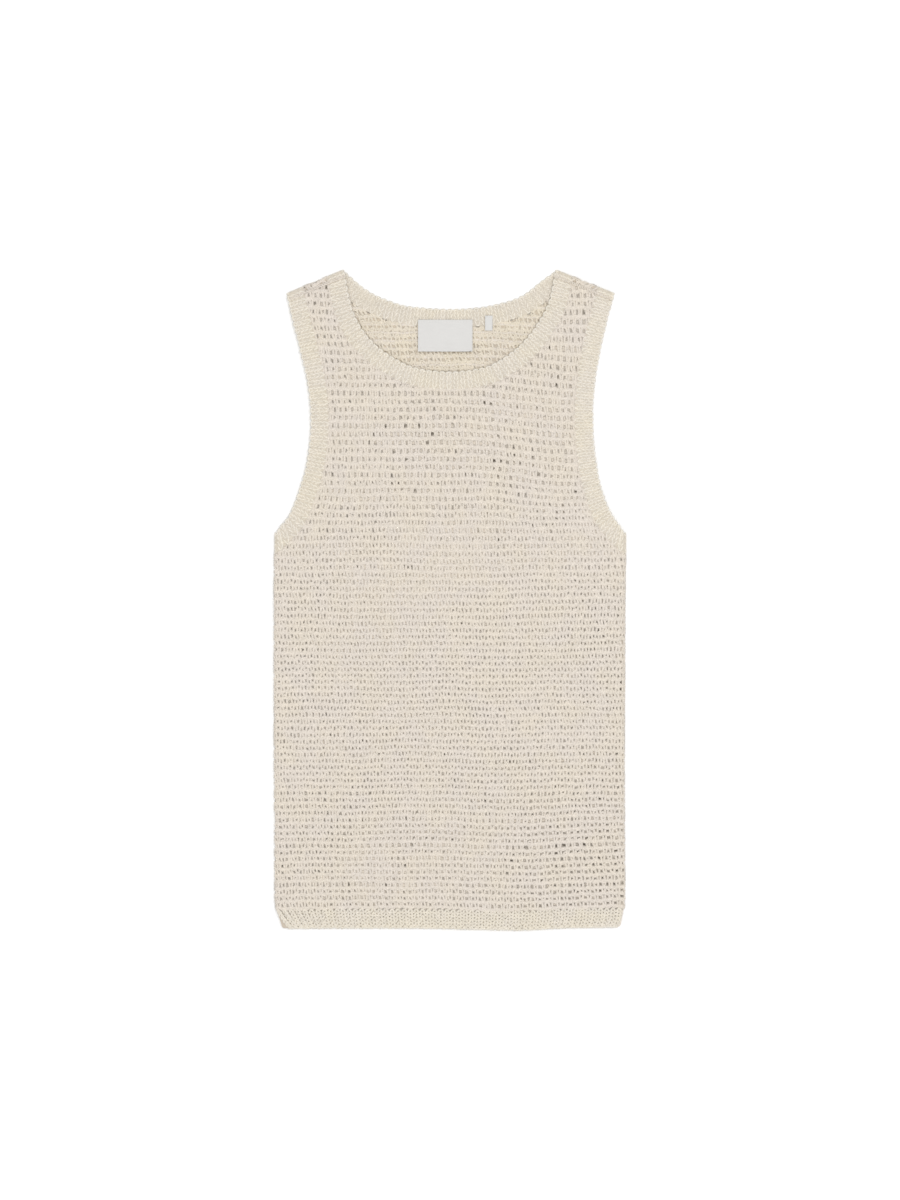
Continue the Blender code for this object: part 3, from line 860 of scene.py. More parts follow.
def cloth_object(
    mesh: bpy.types.Mesh,
    finish: bpy.types.Material,
) -> bpy.types.Object:
    """Put a finished mesh in the scene as a piece that rides with the garment.

    Args:
        mesh: the mesh, in the row frame.
        finish: its material.

    Returns:
        The piece.
    """
    mesh.materials.clear()
    mesh.materials.append(finish)
    piece = bpy.data.objects.new(mesh.name, mesh)
    bpy.context.scene.collection.objects.link(piece)
    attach(piece, "root")
    LOG.info("%s: %d faces", piece.name, len(mesh.polygons))
    return piece


@dataclass(frozen=True)
class LoopShape:
    """A knitted loop's course, in wales across and ridges up, with heights in metres.

    Its feet lie in front on one ridge and its head in front on the next, and its two legs cross
    the valley between them at the back. The neck is how far the legs draw together there.
    """
    points: int = 12
    reach: float = 0.77
    neck: float = 0.050
    neck_spread: float = 0.032
    bulge: float = 0.15
    lean: float = 0.14
    lean_spread: float = 0.07
    reach_spread: float = 0.085
    front_depth: float = -0.00045
    back_depth: float = -0.00080
    leg_swell: float = 0.24
    neck_limits: Span = Span(-0.05, 0.12)
    front_part: Span = Span(0.30, 0.80)

    def run(self, wales: np.ndarray, ease: np.ndarray, draw: np.random.Generator) -> tuple[np.ndarray, ...]:
        """A row of loops.

        Args:
            wales: the wales that the row crosses.
            ease: how loose each loop is, about -1 to 1.
            draw: the source of the loops' unevenness.

        Returns:
            Wale, ridge, height and thickness of the yarn's points, the ridge from the valley's middle.
        """
        count = len(wales)
        t = np.tile(np.linspace(-math.pi, math.pi, self.points, endpoint=False), count)

        def each(values: np.ndarray) -> np.ndarray:
            """One value for each loop, repeated for its points."""
            return np.repeat(values, self.points)

        rise = np.cos(t)
        upper = (1.0 + rise) / 2
        neck = each(self.neck_limits.held(self.neck + self.neck_spread * ease))
        lean = each(self.lean + draw.normal(0.0, self.lean_spread, count))
        reach = self.reach + each(draw.normal(0.0, self.reach_spread, count)) * upper
        wale = each(wales) + t / (2 * math.pi) - neck * np.sin(t) + self.bulge * np.sin(2 * t)
        front = self.front_part.rise(np.abs(rise))
        height = self.back_depth + (self.front_depth - self.back_depth) * front
        return wale - lean * upper, reach * rise, height, 1.0 + self.leg_swell * (1.0 - front)


class Section(NamedTuple):
    """A stretch of a panel's knitting that is one piece, between two heights above the hem."""
    name: str
    low: float
    high: float


@dataclass
class PanelKnit:
    """The yarn loops of one face of a panel, with the yarn that fills each ridge behind them."""
    lay: PanelLay
    finish: bpy.types.Material
    sections: Sequence[Section]
    loop: LoopShape = LoopShape()
    wale_scale: float = 1.0
    half_width: float = 0.1755
    yarn_radius: float = YARN_RADIUS
    filling_radius: float = 0.00240
    filling_depth: float = -0.00105
    flatness: float = 0.62
    row_shift: float = 0.13
    loose_patch: float = 0.021
    thick_patch: float = 0.0050
    loop_spread: float = 0.75
    yarn_spread: float = 0.09
    filling_spread: float = 0.10
    loose_thinning: float = 0.07
    wide_row_share: float = 0.6
    ease_limits: Span = Span(-2.0, 2.0)
    shortest_run: int = 4
    seed: int = 21

    def strands(self, low: float, high: float) -> list[Strand]:
        """The yarn of some ridges.

        Args:
            low: the height above the hem from which they lie.
            high: the height below which they lie.

        Returns:
            Each row's loops and the yarn that fills its ridge.
        """
        grid = self.lay.grid
        found = []
        count = int(self.half_width / WALE_PITCH / self.wale_scale) + 1
        wales = np.arange(-count, count + 1)
        halves = np.arange(-2 * count, 2 * count + 1) / 2
        loose = Noise(self.loose_patch, self.seed)
        uneven = Noise(self.thick_patch, self.seed + 1)
        draw = np.random.default_rng(self.seed + int(low * 1000))
        for number in range(grid.ridges):
            if not low <= grid.heights[number] < high:
                continue
            middles = grid.place(wales * self.wale_scale, np.full(len(wales), number + 0.5))
            ease = loose.at(*middles) + draw.normal(0.0, self.loop_spread, len(wales)) + grid.ease(*middles)
            shifted = wales + draw.normal(0.0, self.row_shift)
            wale, ridge, height, swell = self.loop.run(shifted, ease, draw)
            x, y = grid.place(wale * self.wale_scale, number + 0.5 + ridge)
            share = self.thickness(number) * swell * (1.0 + self.yarn_spread * uneven.at(x, y))
            thinning = self.loose_thinning * self.ease_limits.held(ease)
            share *= np.repeat(1.0 - thinning, self.loop.points)
            found += self.cut(x, y, height, share)
            x, y = grid.place(halves * self.wale_scale, np.full(len(halves), float(number)))
            share = self.thickness(number) * (1.0 + self.filling_spread * uneven.at(x, y))
            share = share * self.filling_radius / self.yarn_radius
            found += self.cut(x, y, np.full(len(x), self.filling_depth), share)
        return found

    def thickness(self, ridge: int) -> float:
        """The yarn's thickness in a row, which fills wider rows as it does narrow ones.

        Args:
            ridge: the row's number, from the hem.

        Returns:
            The thickness, as a share of the yarn's own.
        """
        grid = self.lay.grid
        number = min(ridge, grid.ridges - 2)
        pitch = grid.heights[number + 1] - grid.heights[number]
        return 1.0 - self.wide_row_share + self.wide_row_share * pitch / ROW_PITCHES[0].pitch

    def cut(self, x: np.ndarray, y: np.ndarray, height: np.ndarray, share: np.ndarray) -> list[Strand]:
        """Cut a row where it leaves the panel, and sink its ends under the seams.

        Args:
            x: places across.
            y: places up.
            height: heights over the face.
            share: the yarn's thickness at each place.

        Returns:
            The lengths of yarn that are left.
        """
        lay = self.lay
        limit = lay.sides.near(x, y) + TURN_REACH * math.pi / 2
        x, y, over = lay.keep(x, y)
        inside = (over < lay.tuck) & (np.abs(x) < min(limit.max(), self.half_width))
        height = np.where(over > 0, np.minimum(height, self.loop.back_depth), height)
        points = np.column_stack([x, y, height])
        runs = []
        edges = np.flatnonzero(np.diff(np.concatenate([[0], inside.astype(int), [0]])))
        for start, end in zip(edges[::2], edges[1::2]):
            if end - start >= self.shortest_run:
                runs.append(Strand(points[start:end], share[start:end]))
        return runs

    def build(self) -> list[bpy.types.Object]:
        """Make one piece for each section of the panel.

        Returns:
            The pieces, from the hem up.
        """
        made = []
        for section in self.sections:
            strands = self.strands(section.low, section.high)
            piece = yarn_piece(
                section.name, strands, self.yarn_radius, self.finish, self.lay.onto, self.flatness)
            made.append(piece)
        return made


@dataclass
class BandLay:
    """Turns places along and across a band's loop into points on its wall.

    The run is measured along the free edge: the front, the fold at its end, the back and the
    fold at its start. Across is 0 at the free edge and 1 at the seam.
    """
    front: Strip
    back: Strip
    start_fold: Fold
    end_fold: Fold

    def __post_init__(self) -> None:
        """Collect the sections of the loop, on the surface midway through the wall."""
        free: list[np.ndarray] = []
        seam: list[np.ndarray] = []
        normal: list[np.ndarray] = []
        self.add_flat(free, seam, normal, self.front, 1.0)
        self.add_turn(free, seam, normal, self.end_fold, self.front, -1, TURN_ANGLES)
        self.add_flat(free, seam, normal, Strip(self.back.free[::-1], self.back.seam[::-1]), -1.0)
        self.add_turn(free, seam, normal, self.start_fold, self.front, 0, TURN_ANGLES[::-1])
        for places in (free, seam, normal):
            places.append(places[0])
        self.free = np.array(free)
        self.seam = np.array(seam)
        self.normal = np.array(normal)
        outer = self.free + self.normal * WALL / 2
        self.run = path_run(outer)
        self.front_length = self.run[len(self.front.free) - 1]
        turn = len(TURN_ANGLES) + 1
        self.back_start = self.run[len(self.front.free) - 1 + turn]
        self.back_length = self.run[-1 - turn] - self.back_start

    @staticmethod
    def add_flat(free: list, seam: list, normal: list, strip: Strip, layer: float) -> None:
        """Sections on one layer.

        Args:
            free: takes the places at the free edge.
            seam: takes those at the seam.
            normal: takes the outer normals.
            strip: the band's edges in plan.
            layer: the front layer (1) or the back one (-1).
        """
        for start, end in zip(strip.free, strip.seam):
            free.append(np.array([*start, MID_HEIGHT + layer * TURN_RADIUS]))
            seam.append(np.array([*end, MID_HEIGHT + layer * TURN_RADIUS]))
            normal.append(np.array([0.0, 0.0, layer]))

    @staticmethod
    def add_turn(
        free: list,
        seam: list,
        normal: list,
        fold: Fold,
        strip: Strip,
        end: int,
        angles: Sequence[float],
    ) -> None:
        """Sections round a fold, from one end of the front strip.

        Args:
            free: takes the places at the free edge.
            seam: takes those at the seam.
            normal: takes the outer normals.
            fold: the fold.
            strip: the front strip.
            end: which of its ends turns, 0 or -1.
            angles: degrees round the fold, in order.
        """
        for angle in angles:
            place, outward = fold.turn(strip.free[end], angle)
            free.append(place)
            seam.append(fold.turn(strip.seam[end], angle)[0])
            normal.append(outward)

    def at(self, run: np.ndarray, across: np.ndarray, lift: np.ndarray, face: int = 1) -> np.ndarray:
        """Points at a height over the band's outer (1) or inner (-1) face.

        Args:
            run: distances along the loop.
            across: 0 at the free edge and 1 at the seam.
            lift: heights over the face.
            face: which face.

        Returns:
            Points in the row frame, one to a row.
        """
        run = np.mod(run, self.run[-1])
        free, seam, normal = (
            np.column_stack([np.interp(run, self.run, places[:, axis]) for axis in range(3)])
            for places in (self.free, self.seam, self.normal))
        over = face * (WALL / 2 + np.asarray(lift))
        return free + (seam - free) * np.asarray(across)[:, None] + unit_rows(normal) * over[:, None]


@dataclass(frozen=True)
class RibStitch:
    """The V-shaped stitches of a rib's column, and the loop that ends it at the free edge."""
    length: float = 0.0038
    foot: float = 0.05
    spread: float = 0.315
    overlap: float = 1.30
    sunk: float = 0.00115
    swell: float = 0.00028
    edge_reach: float = 0.00055
    tip_swell: float = 1.5
    tip_start: float = 0.02
    tip_sink: float = 0.9

    def legs(self, pitch: float, width: float) -> list[tuple[np.ndarray, np.ndarray, np.ndarray]]:
        """The legs of a column's stitches.

        Args:
            pitch: the distance from rib to rib.
            width: the band's width.

        Returns:
            Offsets along the band, places across it and heights over the rib, for each leg.
        """
        courses = max(2, round(width / self.length))
        share = np.linspace(0.0, 1.0, 4)
        found = []
        for course in range(courses):
            across = 1.0 - (course + self.overlap * share) / courses
            across = np.maximum(across, -self.edge_reach / width)
            lift = -self.sunk + self.swell * np.sin(math.pi * share)
            for side in (-1, 1):
                found.append((side * pitch * (self.foot + self.spread * share), across, lift))
        bend = np.linspace(-1.0, 1.0, 5)
        tip = -self.edge_reach / width * self.tip_swell * (1.0 - bend ** 2) + self.tip_start
        sunk = np.full(len(bend), -self.sunk * self.tip_sink)
        found.append((pitch * (self.foot + self.spread) * bend, tip, sunk))
        return found


HEM_STITCH = RibStitch(length=0.0031, spread=0.41, sunk=0.00140, edge_reach=-0.0004)


def leg_shares(count: int, draw: np.random.Generator) -> np.ndarray:
    """A stitch leg's thickness along its points: full in the middle and thinner at its ends."""
    swell = np.sin(np.linspace(LEG_TAPER, math.pi - LEG_TAPER, count))
    return (LEG_END_SHARE + LEG_SWELL * swell) * draw.uniform(*LEG_SPREAD)


@dataclass
class RibbedBand:
    """A ribbed band sewn into a loop: its shell and the stitches on its ribs."""
    node: str
    lay: BandLay
    pitch: float
    yarn: bpy.types.Material
    # the shell's colour: painted shade that shows between the rib columns
    shell: bpy.types.Material
    stitch: RibStitch = RibStitch()
    radius: float = 0.00115
    width: float = BAND_WIDTH
    inside_ribs: bool = False
    trims: Sequence[bpy.types.Object] = ()
    under_press: float = 0.0006
    edge_step: float = 0.0015
    edge_inset: float = 0.0007
    edge_share: float = 0.95
    stitch_shake: float = 0.00012
    shell_inset: float = 0.0001

    def columns(self) -> list[tuple[float, float, int]]:
        """The band's ribs.

        Returns:
            Each rib's place along the loop, its rise over the plain wall and its face.
        """
        lay = self.lay
        count = max(1, round(lay.front_length / self.pitch))
        found = [((rib + 0.5) / count * lay.front_length, RIB_HEIGHT, 1) for rib in range(count)]
        turn = lay.back_start - lay.front_length
        found.append((lay.front_length + turn / 2, 0.0, 1))
        found.append((lay.run[-1] - turn / 2, 0.0, 1))
        count = max(1, round(lay.back_length / self.pitch))
        for rib in range(count):
            place = (rib + 0.5) / count * lay.back_length
            found.append((lay.back_start + place, -self.under_press, 1))
            clear = min(place, lay.back_length - place) - COVERED_STRETCH
            if self.inside_ribs:
                bare = min(1.0, max(0.0, clear / RIB_FADE))
                found.append((lay.back_start + place, bare * RIB_HEIGHT, -1))
        return found

    def strands(self) -> list[Strand]:
        """Work out the band's yarn.

        Returns:
            The stitches of all the columns, and the rounded edge that they turn round.
        """
        found = []
        draw = np.random.default_rng(len(self.node))
        legs = self.stitch.legs(self.pitch, self.width)
        for run, rise, face in self.columns():
            for along, across, lift in legs:
                shift = draw.normal(0.0, self.stitch_shake, 2)
                places = across + shift[1] / self.width
                points = self.lay.at(run + along + shift[0], places, rise + lift, face)
                found.append(Strand(points, leg_shares(len(points), draw)))
        run = np.arange(0.0, self.lay.run[-1] + self.edge_step, self.edge_step)
        inset = np.full(len(run), self.edge_inset / self.width)
        edge = self.lay.at(run, inset, np.full(len(run), -WALL / 2))
        found.append(Strand(edge, np.full(len(run), self.edge_share)))
        return found

    def build(self) -> list[bpy.types.Object]:
        """Make the band: its shell and the stitches on its ribs.

        Returns:
            The shell and the stitches.
        """
        stitches = yarn_piece(self.node + "_ribs", self.strands(), self.radius, self.yarn)
        shell = Ground(self.node, self.shell, self.shell_inset, 0.0).build()
        return [shell, stitches]


@dataclass
class HemRib:
    """The ribbed edge at the bottom of a panel, knitted in one with it."""
    lay: PanelLay
    yarn: bpy.types.Material
    name: str
    rise: float
    corner_slant: float = 0.45
    corner_pinch: float = 0.25
    stitch: RibStitch = HEM_STITCH
    radius: float = 0.00140
    half_width: float = 0.166
    corner: Span = Span(-0.165, -0.115)
    stitch_shake: float = 0.00015
    seed: int = 31

    def strands(self) -> list[Strand]:
        """Work out the hem's yarn.

        Returns:
            The stitches of all its columns.
        """
        found = []
        draw = np.random.default_rng(self.seed)
        half = HEM_RIBS // 2
        legs = self.stitch.legs(self.half_width / half, HEM_RIB_LENGTH)
        for side in (-1, 1):
            for rib in range(half):
                share = (rib + 0.5) / half
                for along, across, lift in legs:
                    height = HEM_RIB_LENGTH * across
                    axis = self.lay.sides.axis(height + ROW_SHIFT, side)
                    shift = draw.normal(0.0, self.stitch_shake, 2)
                    corner = self.corner.fall(side * axis * share)
                    slant = self.corner_slant * corner * (height - HEM_RIB_LENGTH / 2)
                    x = side * axis * share + along * (1.0 - self.corner_pinch * corner) + shift[0] - slant
                    y = height + hem_lift(x) + ROW_SHIFT + shift[1]
                    points = np.column_stack([x, y, self.rise + lift])
                    found.append(Strand(points, leg_shares(len(x), draw)))
        return found

    def build(self) -> bpy.types.Object:
        """The stitches, as one piece."""
        return yarn_piece(self.name, self.strands(), self.radius, self.yarn, self.lay.onto)


def solid_copy(node: str) -> bmesh.types.BMesh:
    """Copy a solid's mesh to work on, with the corners of its faces joined.

    Args:
        node: the solid's name.

    Returns:
        The copy.
    """
    work = bmesh.new()
    work.from_mesh(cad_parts[node].data)
    bmesh.ops.remove_doubles(work, verts=work.verts, dist=1e-6)
    return work


def finished_mesh(work: bmesh.types.BMesh, name: str) -> bpy.types.Mesh:
    """Finish the work on a mesh.

    Args:
        work: the mesh that was worked on.
        name: the name to give it.

    Returns:
        The mesh.
    """
    mesh = bpy.data.meshes.new(name)
    work.to_mesh(mesh)
    work.free()
    return mesh


@dataclass
class Ground:
    """A thin shell on a solid's form, its two faces moved in to leave room for the yarn."""
    node: str
    finish: bpy.types.Material
    outer_inset: float
    inner_inset: float
    ripples: Sequence[Ripple] = ()
    cuts: int = 0

    def build(self) -> bpy.types.Object:
        """Make the shell.

        Returns:
            The shell, which stands for its solid.
        """
        sides = SideEdge()
        work = solid_copy(self.node)
        work.normal_update()
        for vertex in work.verts:
            past = max(abs(vertex.co.x) - sides.near(vertex.co.x, vertex.co.y), 0.0)
            away = math.hypot(past, vertex.co.z - MID_HEIGHT)
            inset = self.outer_inset if away > TURN_RADIUS else self.inner_inset
            vertex.co -= vertex.normal * inset
        if self.cuts:
            bmesh.ops.subdivide_edges(work, edges=work.edges, cuts=self.cuts, use_grid_fill=True)
        for vertex in work.verts:
            vertex.co.z += float(ripple_lift(self.ripples, vertex.co.x, vertex.co.y))
        piece = cloth_object(finished_mesh(work, self.node + "_ground"), self.finish)
        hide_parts(self.node)
        return piece


class Bench:
    """Adds nodes to a material or a node group and joins them."""

    def __init__(self, tree: bpy.types.NodeTree) -> None:
        """Take the tree to work on."""
        self.tree = tree

    def add(self, kind: str, **settings: object) -> bpy.types.Node:
        """Add a node.

        Args:
            kind: its type.
            **settings: its properties, by name.

        Returns:
            The new node.
        """
        node = self.tree.nodes.new(kind)
        for name, value in settings.items():
            setattr(node, name, value)
        return node

    def link(self, source: Socket, target: Socket) -> None:
        """Join an output to an input."""
        self.tree.links.new(source, target)

    def noise(self, size: float, detail: float, roughness: float = 0.6) -> Socket:
        """Noise over the piece's own coordinates.

        Args:
            size: the spots' size in metres.
            detail: how many finer layers it has.
            roughness: how strong the finer layers are.

        Returns:
            A value about 0.5.
        """
        place = self.add("ShaderNodeTexCoord")
        noise = self.add("ShaderNodeTexNoise")
        noise.inputs["Scale"].default_value = 1 / size
        noise.inputs["Detail"].default_value = detail
        noise.inputs["Roughness"].default_value = roughness
        self.link(place.outputs["Object"], noise.inputs["Vector"])
        return noise.outputs["Fac"]

    def bands(self, direction: str, period: float) -> Socket:
        """Even bands over the piece's own coordinates.

        Args:
            direction: the axis they follow each other along, X or Y.
            period: their spacing in metres.

        Returns:
            A value from 0 to 1.
        """
        place = self.add("ShaderNodeTexCoord")
        wave = self.add("ShaderNodeTexWave", bands_direction=direction)
        wave.inputs["Scale"].default_value = WAVE_PERIOD / period
        wave.inputs["Distortion"].default_value = 0.6
        wave.inputs["Detail Scale"].default_value = 2.0
        self.link(place.outputs["Object"], wave.inputs["Vector"])
        return wave.outputs["Fac"]

    def ranged(self, value: Socket, taken: Pair, given: Pair) -> Socket:
        """Move a value from one range to another, and hold it inside that.

        Args:
            value: the value.
            taken: the range it comes in.
            given: the range it goes to.

        Returns:
            The new value.
        """
        node = self.add("ShaderNodeMapRange")
        for name, number in zip(("From Min", "From Max", "To Min", "To Max"), (*taken, *given)):
            node.inputs[name].default_value = number
        self.link(value, node.inputs["Value"])
        return node.outputs["Result"]

    def blended(self, share: Socket | float, low: Socket | Colour, high: Socket | Colour,
                kind: str = "MIX") -> Socket:
        """Mix two colours.

        Args:
            share: how much of the second colour there is.
            low: the first colour.
            high: the second colour.
            kind: how they mix.

        Returns:
            The mixed colour.
        """
        node = self.add("ShaderNodeMix", data_type="RGBA", blend_type=kind)
        if isinstance(share, Socket):
            self.link(share, node.inputs["Factor"])
        else:
            node.inputs["Factor"].default_value = share
        for socket, colour in ((node.inputs[6], low), (node.inputs[7], high)):
            if isinstance(colour, Socket):
                self.link(colour, socket)
            else:
                socket.default_value = (*colour, 1.0)
        return node.outputs[2]

    def summed(self, values: Sequence[Socket], weights: Sequence[float]) -> Socket:
        """Add values up.

        Args:
            values: the values.
            weights: a weight for each.

        Returns:
            The sum.
        """
        total = None
        for value, weight in zip(values, weights):
            node = self.add("ShaderNodeMath", operation="MULTIPLY_ADD")
            self.link(value, node.inputs[0])
            node.inputs[1].default_value = weight
            node.inputs[2].default_value = 0.0
            if total is not None:
                self.link(total, node.inputs[2])
            total = node.outputs[0]
        return total


def effect_group(name: str) -> tuple[Bench, bpy.types.Node, bpy.types.Node]:
    """Start a node group that goes from a colour to a surface's colour, roughness and height.

    Args:
        name: the group's name.

    Returns:
        Its bench, its input node and its output node.
    """
    tree = bpy.data.node_groups.new(name, "ShaderNodeTree")
    tree.interface.new_socket("Colour", in_out="INPUT", socket_type="NodeSocketColor")
    tree.interface.new_socket("Colour", in_out="OUTPUT", socket_type="NodeSocketColor")
    tree.interface.new_socket("Roughness", in_out="OUTPUT", socket_type="NodeSocketFloat")
    tree.interface.new_socket("Height", in_out="OUTPUT", socket_type="NodeSocketFloat")
    bench = Bench(tree)
    return bench, bench.add("NodeGroupInput"), bench.add("NodeGroupOutput")


@dataclass(frozen=True)
class YarnGrain:
    """Patches of tone, the yarn's plies and its fuzz, by their sizes in metres."""
    patch: float = 0.030
    slub: float = 0.0060
    ply: float = 0.0013
    fuzz: float = 0.00045
    warm: Colour = (1.0, 0.990, 0.950)
    cool: Colour = (0.990, 0.985, 0.980)
    patch_limits: Pair = (0.38, 0.62)
    tone_weights: tuple[float, float, float] = (0.62, 0.16, 0.22)
    tone_limits: Pair = (0.36, 0.64)
    tones: Pair = (0.80, 1.10)
    ply_limits: Pair = (0.3, 0.7)
    roughness: Pair = (0.97, 0.84)
    height_weights: Pair = (0.6, 0.4)

    def group(self) -> bpy.types.NodeTree:
        """Put the nodes together.

        Returns:
            The node group.
        """
        bench, given, made = effect_group("yarn_grain")
        patches = bench.ranged(bench.noise(self.patch, 2.0), self.patch_limits, (0.0, 1.0))
        tint = bench.blended(patches, self.cool, self.warm)
        plies = bench.noise(self.ply, 3.0)
        slubs = bench.noise(self.slub, 1.0)
        fuzz = bench.noise(self.fuzz, 1.0)
        tone = bench.summed((plies, slubs, fuzz), self.tone_weights)
        shade = bench.ranged(tone, self.tone_limits, self.tones)
        colour = bench.blended(1.0, given.outputs["Colour"], tint, "MULTIPLY")
        bench.link(bench.blended(1.0, colour, shade, "MULTIPLY"), made.inputs["Colour"])
        bench.link(bench.ranged(plies, self.ply_limits, self.roughness), made.inputs["Roughness"])
        bench.link(bench.summed((plies, fuzz), self.height_weights), made.inputs["Height"])
        return bench.tree


@dataclass(frozen=True)
class HoleShade:
    """Painted shade in the knit's holes: the given colour, a shaded copy of the yarn's, stands for the
    layer below in shade, with painted dark shadow in places.

    The painted shadow is commoner and darker towards the hem's right corner, where the knit is looser.
    """
    spot: float = 0.0085
    cluster: float = 0.045
    grit: float = 0.0013
    weights: tuple[float, float, float] = (0.72, 0.28, 0.050)
    corner_heights: Pair = (-0.26, -0.12)
    corner_across: Pair = (0.02, 0.12)
    shade_limits: Pair = (0.500, 0.660)
    # painted dark shadow in some of the holes
    shade: Colour = (0.095, 0.078, 0.058)
    rib: Colour = (0.70, 0.64, 0.56)
    # painted shade between the hem's ribs at its left corner
    corner_rib_shade: Colour = (0.52, 0.45, 0.37)
    corner_rib_shade_across: Pair = (-0.155, -0.110)
    rib_fade: float = 0.004
    roughness: Pair = (0.98, 0.92)

    def group(self) -> bpy.types.NodeTree:
        """Put the nodes together.

        Returns:
            The node group.
        """
        bench, given, made = effect_group("painted_hole_shade")
        place = bench.add("ShaderNodeTexCoord")
        parts = bench.add("ShaderNodeSeparateXYZ")
        bench.link(place.outputs["Object"], parts.inputs["Vector"])
        spots = bench.noise(self.spot, 1.0)
        clusters = bench.noise(self.cluster, 1.0)
        low = bench.ranged(parts.outputs["Y"], self.corner_heights, (1.0, 0.0))
        right = bench.ranged(parts.outputs["X"], self.corner_across, (0.0, 1.0))
        corner = bench.add("ShaderNodeMath", operation="MULTIPLY")
        bench.link(low, corner.inputs[0])
        bench.link(right, corner.inputs[1])
        # Where the painted dark shadow falls: at spots, in clusters and towards the hem's right corner
        level = bench.summed((spots, clusters, corner.outputs[0]), self.weights)
        share = bench.ranged(level, self.shade_limits, (0.0, 1.0))
        holes = bench.blended(share, given.outputs["Colour"], self.shade)
        # Under the hem's ribs the ground takes the rib colour, which turns to painted shade towards the
        # left corner
        top = ROW_SHIFT + HEM_RIB_LENGTH
        body = bench.ranged(parts.outputs["Y"], (top, top + self.rib_fade), (0.0, 1.0))
        left = bench.ranged(parts.outputs["X"], self.corner_rib_shade_across, (1.0, 0.0))
        rib = bench.blended(left, self.rib, self.corner_rib_shade)
        bench.link(bench.blended(body, rib, holes), made.inputs["Colour"])
        bench.link(bench.ranged(spots, (0.0, 1.0), self.roughness), made.inputs["Roughness"])
        bench.link(bench.noise(self.grit, 2.0), made.inputs["Height"])
        return bench.tree


@dataclass(frozen=True)
class TapeWeave:
    """The fine plain weave of a label's tape, by its threads' spacing in metres."""
    warp: float = 0.00062
    weft: float = 0.00048
    soiling: float = 0.011
    relief_weights: Pair = (0.45, 0.55)
    tone_weights: Pair = (0.65, 0.35)
    tone_limits: Pair = (0.1, 0.9)
    tones: Pair = (0.93, 1.04)
    roughness: Pair = (0.72, 0.58)

    def group(self) -> bpy.types.NodeTree:
        """Put the nodes together.

        Returns:
            The node group.
        """
        bench, given, made = effect_group("tape_weave")
        warp = bench.bands("X", self.warp)
        weft = bench.bands("Y", self.weft)
        relief = bench.summed((warp, weft), self.relief_weights)
        cloudy = bench.noise(self.soiling, 2.0)
        # The tone is darker where the weave's relief is low, painted shade between the threads, with cloudy
        # soiling over it
        tone = bench.summed((relief, cloudy), self.tone_weights)
        shade = bench.ranged(tone, self.tone_limits, self.tones)
        bench.link(bench.blended(1.0, given.outputs["Colour"], shade, "MULTIPLY"), made.inputs["Colour"])
        bench.link(bench.ranged(relief, (0.0, 1.0), self.roughness), made.inputs["Roughness"])
        bench.link(relief, made.inputs["Height"])
        return bench.tree


@dataclass(frozen=True)
class ClothFinish:
    """A matt cloth surface: its colour, its relief and its sheen."""
    name: str
    colour: Colour
    relief: float = 0.00030
    sheen: float = 0.20
    sheen_roughness: float = 0.6
    specular: float = 0.3

    def make(self, effect: bpy.types.NodeTree) -> bpy.types.Material:
        """Make the material.

        Args:
            effect: the node group that gives it its grain or weave.

        Returns:
            The material.
        """
        made = bpy.data.materials.new(self.name)
        made.use_nodes = True
        bench = Bench(made.node_tree)
        surface = made.node_tree.nodes["Principled BSDF"]
        surface.inputs["Sheen Weight"].default_value = self.sheen
        surface.inputs["Sheen Roughness"].default_value = self.sheen_roughness
        surface.inputs["Specular IOR Level"].default_value = self.specular
        grain = bench.add("ShaderNodeGroup", node_tree=effect)
        grain.inputs["Colour"].default_value = (*self.colour, 1.0)
        bump = bench.add("ShaderNodeBump")
        bump.inputs["Strength"].default_value = 1.0
        bump.inputs["Distance"].default_value = self.relief
        bench.link(grain.outputs["Colour"], surface.inputs["Base Color"])
        bench.link(grain.outputs["Roughness"], surface.inputs["Roughness"])
        bench.link(grain.outputs["Height"], bump.inputs["Height"])
        bench.link(bump.outputs["Normal"], surface.inputs["Normal"])
        return made


@dataclass
class SeamChain:
    """The linking stitches along a seam: two lengths of yarn that wind round each other."""
    name: str
    yarn: bpy.types.Material
    radius: float = 0.00062
    pitch: float = 0.0040
    swing: float = 0.00075
    rise: float = 0.6
    steps: int = 6

    def strands(self, path: np.ndarray, height: float) -> list[Strand]:
        """The two lengths along a path in plan.

        Args:
            path: the seam's points in plan.
            height: the chain's height in the row frame.

        Returns:
            The two lengths of yarn.
        """
        length = path_run(path)[-1]
        count = max(4, int(length / self.pitch * self.steps))
        share = np.linspace(0.0, 1.0, count)
        middle = points_along(path, share)
        across = right_of(headings(middle))
        turn = 2 * math.pi * share * length / self.pitch
        found = []
        for phase in (0.0, math.pi):
            place = middle + across * (self.swing * np.sin(turn + phase))[:, None]
            rise = height + self.radius * self.rise * np.cos(turn + phase)
            found.append(Strand(np.column_stack([place, rise]), np.ones(count)))
        return found

    def build(self, seams: Sequence[tuple[np.ndarray, float]]) -> bpy.types.Object:
        """All the seams as one piece."""
        strands = [strand for path, height in seams for strand in self.strands(path, height)]
        return yarn_piece(self.name, strands, self.radius, self.yarn)


